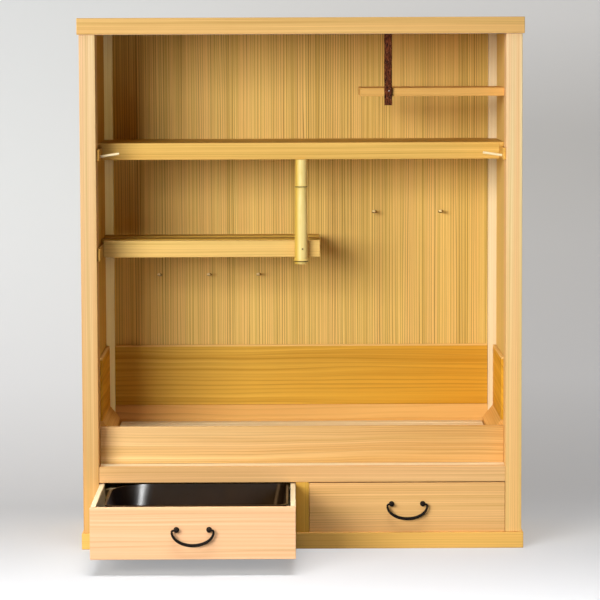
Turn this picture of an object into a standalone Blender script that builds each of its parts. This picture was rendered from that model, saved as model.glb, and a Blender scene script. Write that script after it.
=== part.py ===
"""Tea-preparation cabinet: an open cedar case with shelves, a slatted sink and two drawers.

Metres, +Z up, +X to the right of someone who faces the front, and the front towards -Y.
The origin is the middle of the base, on the floor. The left drawer rests pulled open.
"""

import math

import bmesh
import bpy
from mathutils import Matrix, Vector

# Clearances and edges
SEAT = 0.0003
PIN_PLAY = 0.0005
EASED_EDGE = 0.0012
WELD_DISTANCE = 0.00001

# Case
CASE_WIDTH = 1.150
CASE_DEPTH = 0.470
CASE_HEIGHT = 1.390
TOP_THICKNESS = 0.043
EDGE_OVERHANG = 0.005
POST_WIDTH = 0.042
FRONT_POST_DEPTH = 0.080
REAR_POST_WIDTH = 0.061
REAR_POST_DEPTH = 0.070
SIDE_PANEL_RECESS = 0.003
SIDE_PANEL_THICKNESS = 0.024
BACK_PANEL_RECESS = 0.028
BACK_PANEL_THICKNESS = 0.010

# Plinth
PLINTH_HEIGHT = 0.042
PLINTH_FRONT_DEPTH = 0.070
PLINTH_SIDE_WIDTH = 0.055
BEARER_WIDTH = 0.080
DRAWER_FLOOR_THICKNESS = 0.012

# Drawer storey
DRAWER_OPENING_HEIGHT = 0.1335
RAIL_HEIGHT = 0.0415
RAIL_DEPTH = 0.022
DIVIDER_WIDTH = 0.034
FACE_RECESS = 0.001

# Sink
SINK_FLOOR_THICKNESS = 0.017
APRON_HEIGHT = 0.098
APRON_THICKNESS = 0.018
CURB_HEIGHT = 0.111
CURB_RUN = 0.028
CURB_DROP = 0.034
WAINSCOT_HEIGHT = 0.1665
WAINSCOT_THICKNESS = 0.009
PAN_DEPTH = 0.056
PAN_WALL = 0.002
PAN_FLANGE = 0.016
PAN_PLAY = 0.0015
PAN_CORNER = 0.006
DECK_PLAY = 0.0035
DECK_SLAT_COUNT = 6
DECK_SLAT_GAP = 0.010
DECK_SLAT_THICKNESS = 0.011
DECK_BEARER_COUNT = 3
DECK_BEARER_WIDTH = 0.026
DECK_BEARER_HEIGHT = 0.014

# Upper shelf
UPPER_SHELF_DROP = 0.2855
UPPER_SHELF_SETBACK = 0.043
SHELF_BOARD_THICKNESS = 0.0115
SHELF_RAIL_HEIGHT = 0.044
SHELF_RAIL_DEPTH = 0.020
CLEAT_RECESS = 0.010
CLEAT_THICKNESS = 0.008
CLEAT_HEIGHT = 0.030

# Lower shelf
LOWER_SHELF_DROP = 0.260
LOWER_SHELF_SETBACK = 0.024
LOWER_SHELF_LENGTH = 0.586
LOWER_RAIL_HEIGHT = 0.044
SHELF_SLAT_COUNT = 2
SHELF_SLAT_GAP = 0.050
SHELF_SLAT_THICKNESS = 0.011
SHELF_BEARER_COUNT = 2
SHELF_BEARER_WIDTH = 0.024
SHELF_BEARER_HEIGHT = 0.020
BEARER_END_INSET = 0.004
BEARER_HOUSING = 0.25

# Bamboo hanger
BAMBOO_DIAMETER = 0.035
BAMBOO_WALL = 0.005
BAMBOO_END_INSET = 0.050
BAMBOO_TAIL = 0.017
BAMBOO_NODE_DROP = 0.072
BAMBOO_NODE_SWELL = 0.0015
BAMBOO_NODE_HEIGHT = 0.006

# Corner shelf
CORNER_SHELF_DROP = 0.141
CORNER_SHELF_THICKNESS = 0.022
CORNER_SHELF_LENGTH = 0.381
CORNER_SHELF_LAP = 0.008
CORNER_SHELF_DEPTH = 0.200
BARK_WIDTH = 0.0195
BARK_THICKNESS = 0.010
BARK_END_INSET = 0.0735
BARK_TAIL = 0.0235

# Bamboo pegs
PEG_DIAMETER = 0.0064
PEG_FLOOR = 0.002
BACK_PEG_PROJECTION = 0.034
BACK_PEG_RISE = math.radians(8)
LOW_PEG_COUNT = 3
LOW_PEG_START = 0.148
LOW_PEG_PITCH = 0.136
LOW_PEG_DROP = 0.070
HIGH_PEG_COUNT = 2
HIGH_PEG_START = 0.152
HIGH_PEG_PITCH = 0.182
HIGH_PEG_DROP = 0.1585
SIDE_PEG_PROJECTION = 0.050
SIDE_PEG_RISE = math.radians(9)
SIDE_PEG_RECESS = 0.042
SIDE_PEG_DROP = 0.020

# Drawers
DRAWER_SIDE_PLAY = 0.001
DRAWER_TOP_PLAY = 0.0025
DRAWER_FRONT_THICKNESS = 0.018
DRAWER_BACK_PLAY = 0.003
DRAWER_SIDE_THICKNESS = 0.013
DRAWER_BACK_THICKNESS = 0.012
DRAWER_BOTTOM_THICKNESS = 0.006
DRAWER_SIDE_DROP = 0.001
DRAWER_BACK_DROP = 0.014
DRAWER_HELD_LENGTH = 0.034

# Tub in the left drawer
TUB_LEFT_GAP = 0.020
TUB_RIGHT_GAP = 0.006
TUB_FRONT_GAP = 0.028
TUB_BACK_GAP = 0.008
TUB_RIM_DROP = 0.005
TUB_RIM_WIDTH = 0.008
TUB_WALL = 0.003
TUB_CORNER = 0.036
TUB_FOOT_RADIUS = 0.014

# Bail pulls
PULL_SPAN = 0.082
PULL_RISE = 0.010
PULL_REACH = 0.0115
BAIL_DROP = 0.038
BAIL_BEND = 0.0042
BAIL_MIDDLE_RADIUS = 0.0037
BAIL_END_RADIUS = 0.0024
BAIL_PIN_DEPTH = 0.0045
KNOB_RADIUS = 0.0072
KNOB_NECK_RADIUS = 0.0042
KNOB_COLLAR_RADIUS = 0.0070
KNOB_COLLAR_HEIGHT = 0.0018
SHANK_RADIUS = 0.0025
SHANK_TAIL = 0.004
KNOB_ARC = math.radians(144)

# Planes worked out from the sizes above
FRONT = -CASE_DEPTH / 2
BACK = CASE_DEPTH / 2
POST_INNER = CASE_WIDTH / 2 - POST_WIDTH
PANEL_INNER = POST_INNER + SIDE_PANEL_RECESS
REAR_POST_INNER = CASE_WIDTH / 2 - REAR_POST_WIDTH
FRONT_POST_BACK = FRONT + FRONT_POST_DEPTH
REAR_POST_FRONT = BACK - REAR_POST_DEPTH
BACK_PANEL_FRONT = REAR_POST_FRONT + BACK_PANEL_RECESS
TOP_UNDERSIDE = CASE_HEIGHT - TOP_THICKNESS
RAIL_BOTTOM = PLINTH_HEIGHT + DRAWER_OPENING_HEIGHT
SINK_FLOOR = RAIL_BOTTOM + RAIL_HEIGHT
APRON_BACK = FRONT_POST_BACK
APRON_FRONT = APRON_BACK - APRON_THICKNESS
CURB_WIDTH = WAINSCOT_THICKNESS + CURB_RUN
CURB_TOP = SINK_FLOOR + CURB_HEIGHT
SINK_HALF_WIDTH = PANEL_INNER - CURB_WIDTH
SINK_BACK = BACK_PANEL_FRONT - CURB_WIDTH
UPPER_SHELF_FRONT = FRONT_POST_BACK + UPPER_SHELF_SETBACK
UPPER_SHELF_TOP = TOP_UNDERSIDE - UPPER_SHELF_DROP
SHELF_UNDERSIDE = UPPER_SHELF_TOP - SHELF_BOARD_THICKNESS
UPPER_RAIL_BOTTOM = UPPER_SHELF_TOP - SHELF_RAIL_HEIGHT
CLEAT_INNER = POST_INNER - CLEAT_THICKNESS
LOWER_SHELF_FRONT = UPPER_SHELF_FRONT + LOWER_SHELF_SETBACK
LOWER_SHELF_TOP = UPPER_SHELF_TOP - LOWER_SHELF_DROP
LOWER_SHELF_END = LOWER_SHELF_LENGTH - PANEL_INNER
LOWER_RAIL_BOTTOM = LOWER_SHELF_TOP - LOWER_RAIL_HEIGHT
CORNER_SHELF_FRONT = FRONT_POST_BACK - CORNER_SHELF_LAP
CORNER_SHELF_TOP = TOP_UNDERSIDE - CORNER_SHELF_DROP
OPENING_WIDTH = POST_INNER - DIVIDER_WIDTH / 2
OPENING_CENTRE = (POST_INNER + DIVIDER_WIDTH / 2) / 2
DRAWER_WIDTH = OPENING_WIDTH - 2 * DRAWER_SIDE_PLAY
DRAWER_HEIGHT = DRAWER_OPENING_HEIGHT - DRAWER_TOP_PLAY
DRAWER_FACE = FRONT + FACE_RECESS
DRAWER_LENGTH = BACK_PANEL_FRONT - DRAWER_BACK_PLAY - DRAWER_FACE
LEFT_DRAWER_OPEN = DRAWER_LENGTH - DRAWER_HELD_LENGTH

# Facets of round work
ROUND_STEPS = 20
PIN_STEPS = 16
KNOB_ARC_STEPS = 8
BAIL_BEND_STEPS = 4
BAIL_SWEEP_STEPS = 10
TRAY_CORNER_STEPS = 5
TRAY_FOOT_STEPS = 3


def clear_scene():
    """Removes every object, so that only the cabinet is left at the end."""
    for item in list(bpy.data.objects):
        bpy.data.objects.remove(item, do_unlink=True)


def new_collection(name):
    """Returns a new collection, linked to the scene."""
    collection = bpy.data.collections.new(name)
    bpy.context.scene.collection.children.link(collection)
    return collection


def new_material(name, colour, roughness, metallic=0.0):
    """Returns a plain material with the given base colour."""
    material = bpy.data.materials.new(name)
    material.use_nodes = True
    shader = material.node_tree.nodes["Principled BSDF"]
    shader.inputs["Base Color"].default_value = (*colour, 1.0)
    shader.inputs["Roughness"].default_value = roughness
    shader.inputs["Metallic"].default_value = metallic
    return material


clear_scene()
PARTS = new_collection("tea_ceremony_cabinet")
CUTTERS = new_collection("cutters")
CEDAR = new_material("cedar", (0.80, 0.55, 0.28), 0.55)
PANEL_CEDAR = new_material("panel_cedar", (0.62, 0.42, 0.16), 0.60)
BAMBOO = new_material("bamboo", (0.84, 0.70, 0.34), 0.35)
BARK = new_material("bark", (0.10, 0.03, 0.02), 0.70)
IRON = new_material("black_iron", (0.02, 0.02, 0.02), 0.45, 0.8)
LACQUER = new_material("dark_plastic", (0.03, 0.018, 0.014), 0.15)


def add_object(name, data, material, location=(0.0, 0.0, 0.0), parent=None):
    """Links a piece of the cabinet with its material."""
    item = bpy.data.objects.new(name, data)
    data.materials.append(material)
    PARTS.objects.link(item)
    item.location = location
    item.parent = parent
    return item


def add_empty(name, location):
    """Adds an empty that carries the pieces of one moving body."""
    item = bpy.data.objects.new(name, None)
    PARTS.objects.link(item)
    item.location = location
    return item


def mesh_from(shape, name):
    """Turns a bmesh into mesh data and frees it."""
    data = bpy.data.meshes.new(name)
    shape.to_mesh(data)
    shape.free()
    return data


def ease_edges(item, width=EASED_EDGE):
    """Chamfers the long edges of a board, as a hand plane does."""
    bevel = item.modifiers.new("eased_edges", "BEVEL")
    bevel.width = width
    bevel.segments = 1
    bevel.limit_method = "ANGLE"
    bevel.angle_limit = math.radians(40)


def block(low, high, shape=None):
    """Adds a box between two corners to a bmesh."""
    low = Vector(low)
    high = Vector(high)
    shape = shape or bmesh.new()
    corners = bmesh.ops.create_cube(shape, size=1.0)["verts"]
    bmesh.ops.scale(shape, vec=high - low, verts=corners)
    bmesh.ops.translate(shape, vec=(low + high) / 2, verts=corners)
    return shape


def board(name, low, high, material=None, parent=None):
    """Adds a rectangular board between two corners, with its origin at its centre."""
    low = Vector(low)
    high = Vector(high)
    half = (high - low) / 2
    data = mesh_from(block(-half, half), name)
    item = add_object(name, data, material or CEDAR, low + half, parent)
    ease_edges(item)
    return item


def outline_board(name, outline, thickness, location, rotation=(0.0, 0.0, 0.0)):
    """Adds a board cut to a flat outline, thickened evenly to both sides of its own XY plane."""
    curve = bpy.data.curves.new(name, "CURVE")
    curve.dimensions = "2D"
    curve.fill_mode = "BOTH"
    curve.extrude = thickness / 2
    spline = curve.splines.new("POLY")
    spline.points.add(len(outline) - 1)
    for point, (across, along) in zip(spline.points, outline):
        point.co = (across, along, 0.0, 1.0)
    spline.use_cyclic_u = True
    item = add_object(name, curve, CEDAR, location)
    item.rotation_euler = rotation
    weld = item.modifiers.new("weld_caps", "WELD")
    weld.merge_threshold = WELD_DISTANCE
    ease_edges(item)
    return item


def notched_outline(half_width, front):
    """Outline of a board that runs to the back panel and is notched round both rear posts."""
    waist = REAR_POST_INNER - SEAT
    shoulder = REAR_POST_FRONT - SEAT
    rear = BACK_PANEL_FRONT - SEAT
    return [
        (-half_width, front),
        (half_width, front),
        (half_width, shoulder),
        (waist, shoulder),
        (waist, rear),
        (-waist, rear),
        (-waist, shoulder),
        (-half_width, shoulder),
    ]


def rod_mesh(name, start, end, radius, steps=PIN_STEPS):
    """Mesh of a straight round rod between two points."""
    start = Vector(start)
    end = Vector(end)
    run = end - start
    shape = bmesh.new()
    bmesh.ops.create_cone(
        shape,
        cap_ends=True,
        segments=steps,
        radius1=radius,
        radius2=radius,
        depth=run.length,
        matrix=run.to_track_quat("Z", "Y").to_matrix().to_4x4(),
    )
    bmesh.ops.translate(shape, vec=(start + end) / 2, verts=shape.verts)
    return mesh_from(shape, name)


def cut(item, cutter_data, location=(0.0, 0.0, 0.0), operation="DIFFERENCE"):
    """Cuts a piece with, or joins it to, a hidden mesh that has the same parent as the piece."""
    cutter = bpy.data.objects.new(cutter_data.name, cutter_data)
    CUTTERS.objects.link(cutter)
    cutter.location = location
    cutter.parent = item.parent
    cutter.hide_render = True
    cutter.display_type = "WIRE"
    boolean = item.modifiers.new(cutter_data.name, "BOOLEAN")
    boolean.operation = operation
    boolean.object = cutter


def turned(name, profile, material, location, parent=None, rotation=(0.0, 0.0, 0.0)):
    """Adds a turned piece: a profile of (radius, height) points, top to bottom, spun round its own Z."""
    shape = bmesh.new()
    points = [shape.verts.new((radius, 0.0, height)) for radius, height in profile]
    for upper, lower in zip(points, points[1:]):
        shape.edges.new((upper, lower))
    item = add_object(name, mesh_from(shape, name), material, location, parent)
    item.rotation_euler = rotation
    screw = item.modifiers.new("turning", "SCREW")
    screw.steps = ROUND_STEPS
    screw.render_steps = ROUND_STEPS
    screw.use_merge_vertices = True
    screw.merge_threshold = WELD_DISTANCE
    screw.use_smooth_shade = True
    return item


def slice_off(shape, point, normal):
    """Cuts a closed bmesh with a plane, drops the side that the normal points to, and closes it."""
    everything = shape.verts[:] + shape.edges[:] + shape.faces[:]
    result = bmesh.ops.bisect_plane(
        shape, geom=everything, plane_co=point, plane_no=normal, clear_outer=True
    )
    rim = [part for part in result["geom_cut"] if isinstance(part, bmesh.types.BMEdge)]
    bmesh.ops.holes_fill(shape, edges=rim)
    bmesh.ops.recalc_face_normals(shape, faces=shape.faces)


def tray(name, low, high, flange, wall, corner, foot_radius, material, parent=None):
    """Adds an open tray between two corners of its outer wall, with a flange round its top edge."""
    low = Vector(low)
    high = Vector(high)
    half = (high - low) / 2
    shape = block(-half, half)
    lid = [face for face in shape.faces if face.normal.z > 0.5]
    bmesh.ops.delete(shape, geom=lid, context="FACES")
    uprights = [edge for edge in shape.edges if abs(edge.verts[0].co.z - edge.verts[1].co.z) > half.z]
    bmesh.ops.bevel(
        shape,
        geom=uprights,
        offset=corner,
        affect="EDGES",
        segments=TRAY_CORNER_STEPS,
        profile=0.5,
        material=-1,
    )
    foot = [edge for edge in shape.edges if max(vert.co.z for vert in edge.verts) < 0.0]
    bmesh.ops.bevel(
        shape,
        geom=foot,
        offset=foot_radius,
        affect="EDGES",
        segments=TRAY_FOOT_STEPS,
        profile=0.5,
        material=-1,
    )
    rim = [edge for edge in shape.edges if edge.is_boundary]
    grown = bmesh.ops.extrude_edge_only(shape, edges=rim)["geom"]
    lip = [part for part in grown if isinstance(part, bmesh.types.BMVert)]
    bmesh.ops.scale(shape, vec=(1.0 + flange / half.x, 1.0 + flange / half.y, 1.0), verts=lip)
    item = add_object(name, mesh_from(shape, name), material, low + half, parent)
    solidify = item.modifiers.new("wall", "SOLIDIFY")
    solidify.thickness = wall
    solidify.offset = -1.0
    solidify.use_even_offset = True
    return item


def slatted(name, low, high, slats, gap, bearer_places, bearer_span, bearer_width, bearer_height):
    """Adds slats along X between two corners, joined from below by bearers along Y, as one piece."""
    low = Vector(low)
    high = Vector(high)
    slat_width = (high.y - low.y - (slats - 1) * gap) / slats
    shape = bmesh.new()
    for index in range(slats):
        near = low.y + index * (slat_width + gap)
        block((low.x, near, low.z), (high.x, near + slat_width, high.z), shape)
    item = add_object(name, mesh_from(shape, name), CEDAR)
    ease_edges(item)
    housed_top = low.z + (high.z - low.z) * BEARER_HOUSING
    under = bmesh.new()
    near, far = bearer_span
    for place in bearer_places:
        left = place - bearer_width / 2
        right = place + bearer_width / 2
        block((left, near, low.z - bearer_height), (right, far, housed_top), under)
    cut(item, mesh_from(under, name + "_bearers"), operation="UNION")


def peg(name, foot, direction, projection, bed, host):
    """Adds a bamboo peg driven a bed's depth into its host board, and the hole that it sits in."""
    foot = Vector(foot)
    direction = Vector(direction).normalized()
    buried = foot - direction * bed
    tip = foot + direction * projection
    radius = PEG_DIAMETER / 2
    add_object(name, rod_mesh(name, buried, tip, radius), BAMBOO)
    hole = rod_mesh(name + "_hole", buried - direction * SEAT, tip, radius + SEAT)
    cut(host, hole)


def build_plinth():
    """Four plinth boards, the bearer between them and the floor that the drawers run on."""
    outer = CASE_WIDTH / 2 + EDGE_OVERHANG
    front_back = FRONT + PLINTH_FRONT_DEPTH
    back_front = REAR_POST_FRONT
    inner = outer - PLINTH_SIDE_WIDTH
    floor_under = PLINTH_HEIGHT - DRAWER_FLOOR_THICKNESS
    near = front_back + SEAT
    far = back_front - SEAT
    board("plinth_front", (-outer, FRONT - EDGE_OVERHANG, 0.0), (outer, front_back, PLINTH_HEIGHT))
    board("plinth_back", (-outer, back_front, 0.0), (outer, BACK, PLINTH_HEIGHT))
    board("plinth_left", (-outer, near, 0.0), (-inner, far, PLINTH_HEIGHT))
    board("plinth_right", (inner, near, 0.0), (outer, far, PLINTH_HEIGHT))
    half = BEARER_WIDTH / 2
    board("plinth_bearer", (-half, near, 0.0), (half, far, floor_under - SEAT))
    edge = inner - SEAT
    board("drawer_floor", (-edge, near, floor_under), (edge, far, PLINTH_HEIGHT))


def build_case():
    """Posts, panels and the top board. Returns the back panel, which takes the back pegs.

    The rear posts stand into the case and are cut away below the sink, where the drawers run.
    """
    outer = CASE_WIDTH / 2
    bottom = PLINTH_HEIGHT + SEAT
    top = TOP_UNDERSIDE - SEAT
    for side, sign in (("left", -1), ("right", 1)):
        pieces = {
            "front_post": (POST_INNER, outer, FRONT, FRONT_POST_BACK),
            "rear_post": (REAR_POST_INNER, outer, REAR_POST_FRONT, BACK),
            "side_panel": (
                PANEL_INNER,
                PANEL_INNER + SIDE_PANEL_THICKNESS,
                FRONT_POST_BACK + SEAT,
                REAR_POST_FRONT - SEAT,
            ),
        }
        made = {}
        for piece, (inner_x, outer_x, near, far) in pieces.items():
            left, right = sorted((sign * inner_x, sign * outer_x))
            made[piece] = board(f"{side}_{piece}", (left, near, bottom), (right, far, top))
        left, right = sorted((0.0, sign * POST_INNER))
        relief = block((left, FRONT, 0.0), (right, BACK_PANEL_FRONT, SINK_FLOOR + SEAT))
        cut(made["rear_post"], mesh_from(relief, f"{side}_drawer_relief"))
    lid = outer + EDGE_OVERHANG
    board("top_board", (-lid, FRONT - EDGE_OVERHANG, TOP_UNDERSIDE), (lid, BACK, CASE_HEIGHT))
    edge = REAR_POST_INNER - SEAT
    return board(
        "back_panel",
        (-edge, BACK_PANEL_FRONT, bottom),
        (edge, BACK_PANEL_FRONT + BACK_PANEL_THICKNESS, top),
        PANEL_CEDAR,
    )


def build_drawer_storey():
    """The rail over the drawers, the divider between them and the board that carries the sink."""
    edge = POST_INNER - SEAT
    face = DRAWER_FACE
    rail_back = face + RAIL_DEPTH
    board("drawer_rail", (-edge, face, RAIL_BOTTOM), (edge, rail_back, SINK_FLOOR))
    floor_low = (-edge, rail_back + SEAT, SINK_FLOOR - SINK_FLOOR_THICKNESS)
    board("sink_floor", floor_low, (edge, BACK_PANEL_FRONT - SEAT, SINK_FLOOR))
    bottom = PLINTH_HEIGHT + SEAT
    step = RAIL_BOTTOM - SEAT
    top = SINK_FLOOR - SINK_FLOOR_THICKNESS - SEAT
    rear = BACK_PANEL_FRONT - SEAT
    nose = rail_back + SEAT
    outline_board(
        "drawer_divider",
        [(face, bottom), (rear, bottom), (rear, top), (nose, top), (nose, step), (face, step)],
        DIVIDER_WIDTH,
        (0.0, 0.0, 0.0),
        (math.pi / 2, 0.0, math.pi / 2),
    )


def curb_blank(length_low, length_high):
    """A curb along Y on the right wall at X = 0 to -CURB_WIDTH, with its sloped inner top."""
    base = SINK_FLOOR + SEAT
    shape = block((-CURB_WIDTH, length_low, base), (-SEAT, length_high, CURB_TOP))
    slope_normal = Vector((-CURB_DROP, 0.0, CURB_RUN))
    slice_off(shape, (-WAINSCOT_THICKNESS, 0.0, CURB_TOP), slope_normal)
    return shape


def build_curbs():
    """Sloped curbs on three sides of the sink, mitred at the back and notched round the rear posts."""
    post_low = Vector((REAR_POST_INNER - SEAT, REAR_POST_FRONT - SEAT, SINK_FLOOR - CURB_HEIGHT))
    post_high = Vector((PANEL_INNER + CURB_WIDTH, BACK, CURB_TOP + CURB_HEIGHT))
    mitre_gap = SEAT / 2
    right_mitre = Vector((-1.0, 1.0, 0.0))
    for side, sign in (("left", -1), ("right", 1)):
        shape = curb_blank(APRON_BACK + SEAT, BACK_PANEL_FRONT)
        slice_off(shape, (0.0, BACK_PANEL_FRONT - mitre_gap, 0.0), right_mitre)
        bmesh.ops.translate(shape, vec=(PANEL_INNER, 0.0, 0.0), verts=shape.verts)
        bmesh.ops.scale(shape, vec=(sign, 1.0, 1.0), verts=shape.verts)
        bmesh.ops.recalc_face_normals(shape, faces=shape.faces)
        name = f"{side}_sink_curb"
        curb = add_object(name, mesh_from(shape, name), CEDAR)
        notch = block(post_low, post_high)
        bmesh.ops.scale(notch, vec=(sign, 1.0, 1.0), verts=notch.verts)
        bmesh.ops.recalc_face_normals(notch, faces=notch.faces)
        cut(curb, mesh_from(notch, name + "_notch"))
    shape = curb_blank(-PANEL_INNER, PANEL_INNER)
    quarter_turn = Matrix.Rotation(math.pi / 2, 3, "Z")
    bmesh.ops.rotate(shape, verts=shape.verts, matrix=quarter_turn, cent=(0.0, 0.0, 0.0))
    bmesh.ops.translate(shape, vec=(0.0, BACK_PANEL_FRONT, 0.0), verts=shape.verts)
    for sign in (-1, 1):
        corner = (sign * (PANEL_INNER - mitre_gap), BACK_PANEL_FRONT, 0.0)
        slice_off(shape, corner, (sign, -1.0, 0.0))
    back = add_object("back_sink_curb", mesh_from(shape, "back_sink_curb"), CEDAR)
    notches = bmesh.new()
    for sign in (-1, 1):
        left, right = sorted((sign * post_low.x, sign * post_high.x))
        block((left, post_low.y, post_low.z), (right, post_high.y, post_high.z), notches)
    cut(back, mesh_from(notches, "back_sink_curb_notches"))


def build_sink():
    """Apron, curbs and wainscot round the sink, with the pan and its lift-out slatted deck."""
    edge = PANEL_INNER - SEAT
    base = SINK_FLOOR + SEAT
    span = POST_INNER - SEAT
    board("sink_apron", (-span, APRON_FRONT, base), (span, APRON_BACK, SINK_FLOOR + APRON_HEIGHT))
    build_curbs()
    low = CURB_TOP + SEAT
    high = CURB_TOP + WAINSCOT_HEIGHT
    inner = PANEL_INNER - WAINSCOT_THICKNESS
    near = FRONT_POST_BACK + SEAT
    far = REAR_POST_FRONT - SEAT
    board("left_wainscot", (-edge, near, low), (-inner, far, high), PANEL_CEDAR)
    board("right_wainscot", (inner, near, low), (edge, far, high), PANEL_CEDAR)
    wing = REAR_POST_INNER - SEAT
    back_face = BACK_PANEL_FRONT - SEAT
    back_low = (-wing, BACK_PANEL_FRONT - WAINSCOT_THICKNESS, low)
    board("back_wainscot", back_low, (wing, back_face, high), PANEL_CEDAR)
    flange_edge = SINK_HALF_WIDTH - PAN_PLAY
    pan_half = flange_edge - PAN_FLANGE
    pan_near = APRON_BACK + PAN_PLAY + PAN_FLANGE
    pan_far = SINK_BACK - PAN_PLAY - PAN_FLANGE
    flange_under = base + PAN_DEPTH
    tray(
        "sink_pan",
        (-pan_half, pan_near, base),
        (pan_half, pan_far, flange_under),
        PAN_FLANGE,
        PAN_WALL,
        PAN_CORNER,
        PAN_CORNER / 2,
        LACQUER,
    )
    deck_under = flange_under + PAN_WALL + SEAT
    deck_half = SINK_HALF_WIDTH - DECK_PLAY
    bearer_pitch = 2 * deck_half / DECK_BEARER_COUNT
    slatted(
        "sink_deck",
        (-deck_half, APRON_BACK + DECK_PLAY, deck_under),
        (deck_half, SINK_BACK - DECK_PLAY, deck_under + DECK_SLAT_THICKNESS),
        DECK_SLAT_COUNT,
        DECK_SLAT_GAP,
        [-deck_half + (index + 0.5) * bearer_pitch for index in range(DECK_BEARER_COUNT)],
        (pan_near + PAN_WALL + DECK_PLAY, pan_far - PAN_WALL - DECK_PLAY),
        DECK_BEARER_WIDTH,
        DECK_BEARER_HEIGHT,
    )


def build_cleat(name, sign, top, height):
    """A cleat along one side wall, fixed to the front post's inner face."""
    left, right = sorted((sign * CLEAT_INNER, sign * (POST_INNER - SEAT)))
    return board(
        name,
        (left, FRONT + CLEAT_RECESS, top - height),
        (right, REAR_POST_FRONT - SEAT, top),
    )


def build_upper_shelf():
    """The full-width shelf: a board behind a front rail, on two cleats that carry the side pegs."""
    rail_back = UPPER_SHELF_FRONT + SHELF_RAIL_DEPTH
    outline_board(
        "upper_shelf_board",
        notched_outline(PANEL_INNER - SEAT, rail_back + SEAT),
        SHELF_BOARD_THICKNESS,
        (0.0, 0.0, UPPER_SHELF_TOP - SHELF_BOARD_THICKNESS / 2),
    )
    edge = CLEAT_INNER - SEAT
    board(
        "upper_shelf_rail",
        (-edge, UPPER_SHELF_FRONT, UPPER_RAIL_BOTTOM),
        (edge, rail_back, UPPER_SHELF_TOP),
    )
    top = SHELF_UNDERSIDE - SEAT
    for side, sign in (("left", -1), ("right", 1)):
        cleat = build_cleat(f"upper_{side}_cleat", sign, top, CLEAT_HEIGHT)
        foot = (sign * CLEAT_INNER, FRONT + SIDE_PEG_RECESS, top - SIDE_PEG_DROP)
        aim = (-sign * math.cos(SIDE_PEG_RISE), 0.0, math.sin(SIDE_PEG_RISE))
        peg(f"{side}_side_peg", foot, aim, SIDE_PEG_PROJECTION, CLEAT_THICKNESS - PEG_FLOOR, cleat)


def build_lower_shelf():
    """The half-width slatted shelf, with its front rail and its cleat."""
    rail_back = LOWER_SHELF_FRONT + SHELF_RAIL_DEPTH
    board(
        "lower_shelf_rail",
        (-CLEAT_INNER + SEAT, LOWER_SHELF_FRONT, LOWER_RAIL_BOTTOM),
        (LOWER_SHELF_END, rail_back, LOWER_SHELF_TOP),
    )
    slat_under = LOWER_SHELF_TOP - SHELF_SLAT_THICKNESS
    cleat_top = slat_under - SEAT
    build_cleat("lower_shelf_cleat", -1, cleat_top, cleat_top - LOWER_RAIL_BOTTOM)
    far = REAR_POST_FRONT - SEAT
    end_bearer = LOWER_SHELF_END - BEARER_END_INSET - SHELF_BEARER_WIDTH / 2
    bearer_pitch = (end_bearer + CLEAT_INNER) / SHELF_BEARER_COUNT
    slatted(
        "lower_shelf_slats",
        (-PANEL_INNER + SEAT, rail_back + SHELF_SLAT_GAP, slat_under),
        (LOWER_SHELF_END, far, LOWER_SHELF_TOP),
        SHELF_SLAT_COUNT,
        SHELF_SLAT_GAP,
        [end_bearer - index * bearer_pitch for index in range(SHELF_BEARER_COUNT)],
        (rail_back + SEAT, far),
        SHELF_BEARER_WIDTH,
        SHELF_BEARER_HEIGHT,
    )


def build_bamboo_hanger():
    """A bamboo cane, open at its foot, that hangs from the upper rail in front of the lower rail."""
    radius = BAMBOO_DIAMETER / 2
    bore = radius - BAMBOO_WALL
    swell = radius + BAMBOO_NODE_SWELL
    top = UPPER_RAIL_BOTTOM - SEAT
    foot = LOWER_RAIL_BOTTOM - BAMBOO_TAIL - top
    node = -BAMBOO_NODE_DROP
    half_node = BAMBOO_NODE_HEIGHT / 2
    profile = [
        (0.0, 0.0),
        (radius, 0.0),
        (radius, node + half_node),
        (swell, node),
        (radius, node - half_node),
        (radius, foot + 3 * half_node),
        (swell, foot + 2 * half_node),
        (radius, foot + half_node),
        (radius, foot),
        (bore, foot),
        (bore, node - half_node),
        (0.0, node - half_node),
    ]
    place = LOWER_SHELF_END - BAMBOO_END_INSET
    axis = LOWER_SHELF_FRONT - SEAT - swell
    turned("bamboo_hanger", profile, BAMBOO, (place, axis, top))


def build_corner_shelf():
    """The small shelf in the upper right corner and the bark strip that it hangs on."""
    far_right = PANEL_INNER - SEAT
    left = PANEL_INNER - CORNER_SHELF_LENGTH
    near = CORNER_SHELF_FRONT
    post_side = POST_INNER - SEAT
    post_back = FRONT_POST_BACK + SEAT
    far = near + CORNER_SHELF_DEPTH
    outline_board(
        "corner_shelf",
        [
            (left, near),
            (post_side, near),
            (post_side, post_back),
            (far_right, post_back),
            (far_right, far),
            (left, far),
        ],
        CORNER_SHELF_THICKNESS,
        (0.0, 0.0, CORNER_SHELF_TOP - CORNER_SHELF_THICKNESS / 2),
    )
    strip = left + BARK_END_INSET
    strip_back = near - SEAT
    board(
        "bark_hanger",
        (
            strip - BARK_WIDTH / 2,
            strip_back - BARK_THICKNESS,
            CORNER_SHELF_TOP - CORNER_SHELF_THICKNESS - BARK_TAIL,
        ),
        (strip + BARK_WIDTH / 2, strip_back, TOP_UNDERSIDE - SEAT),
        BARK,
    )


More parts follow.
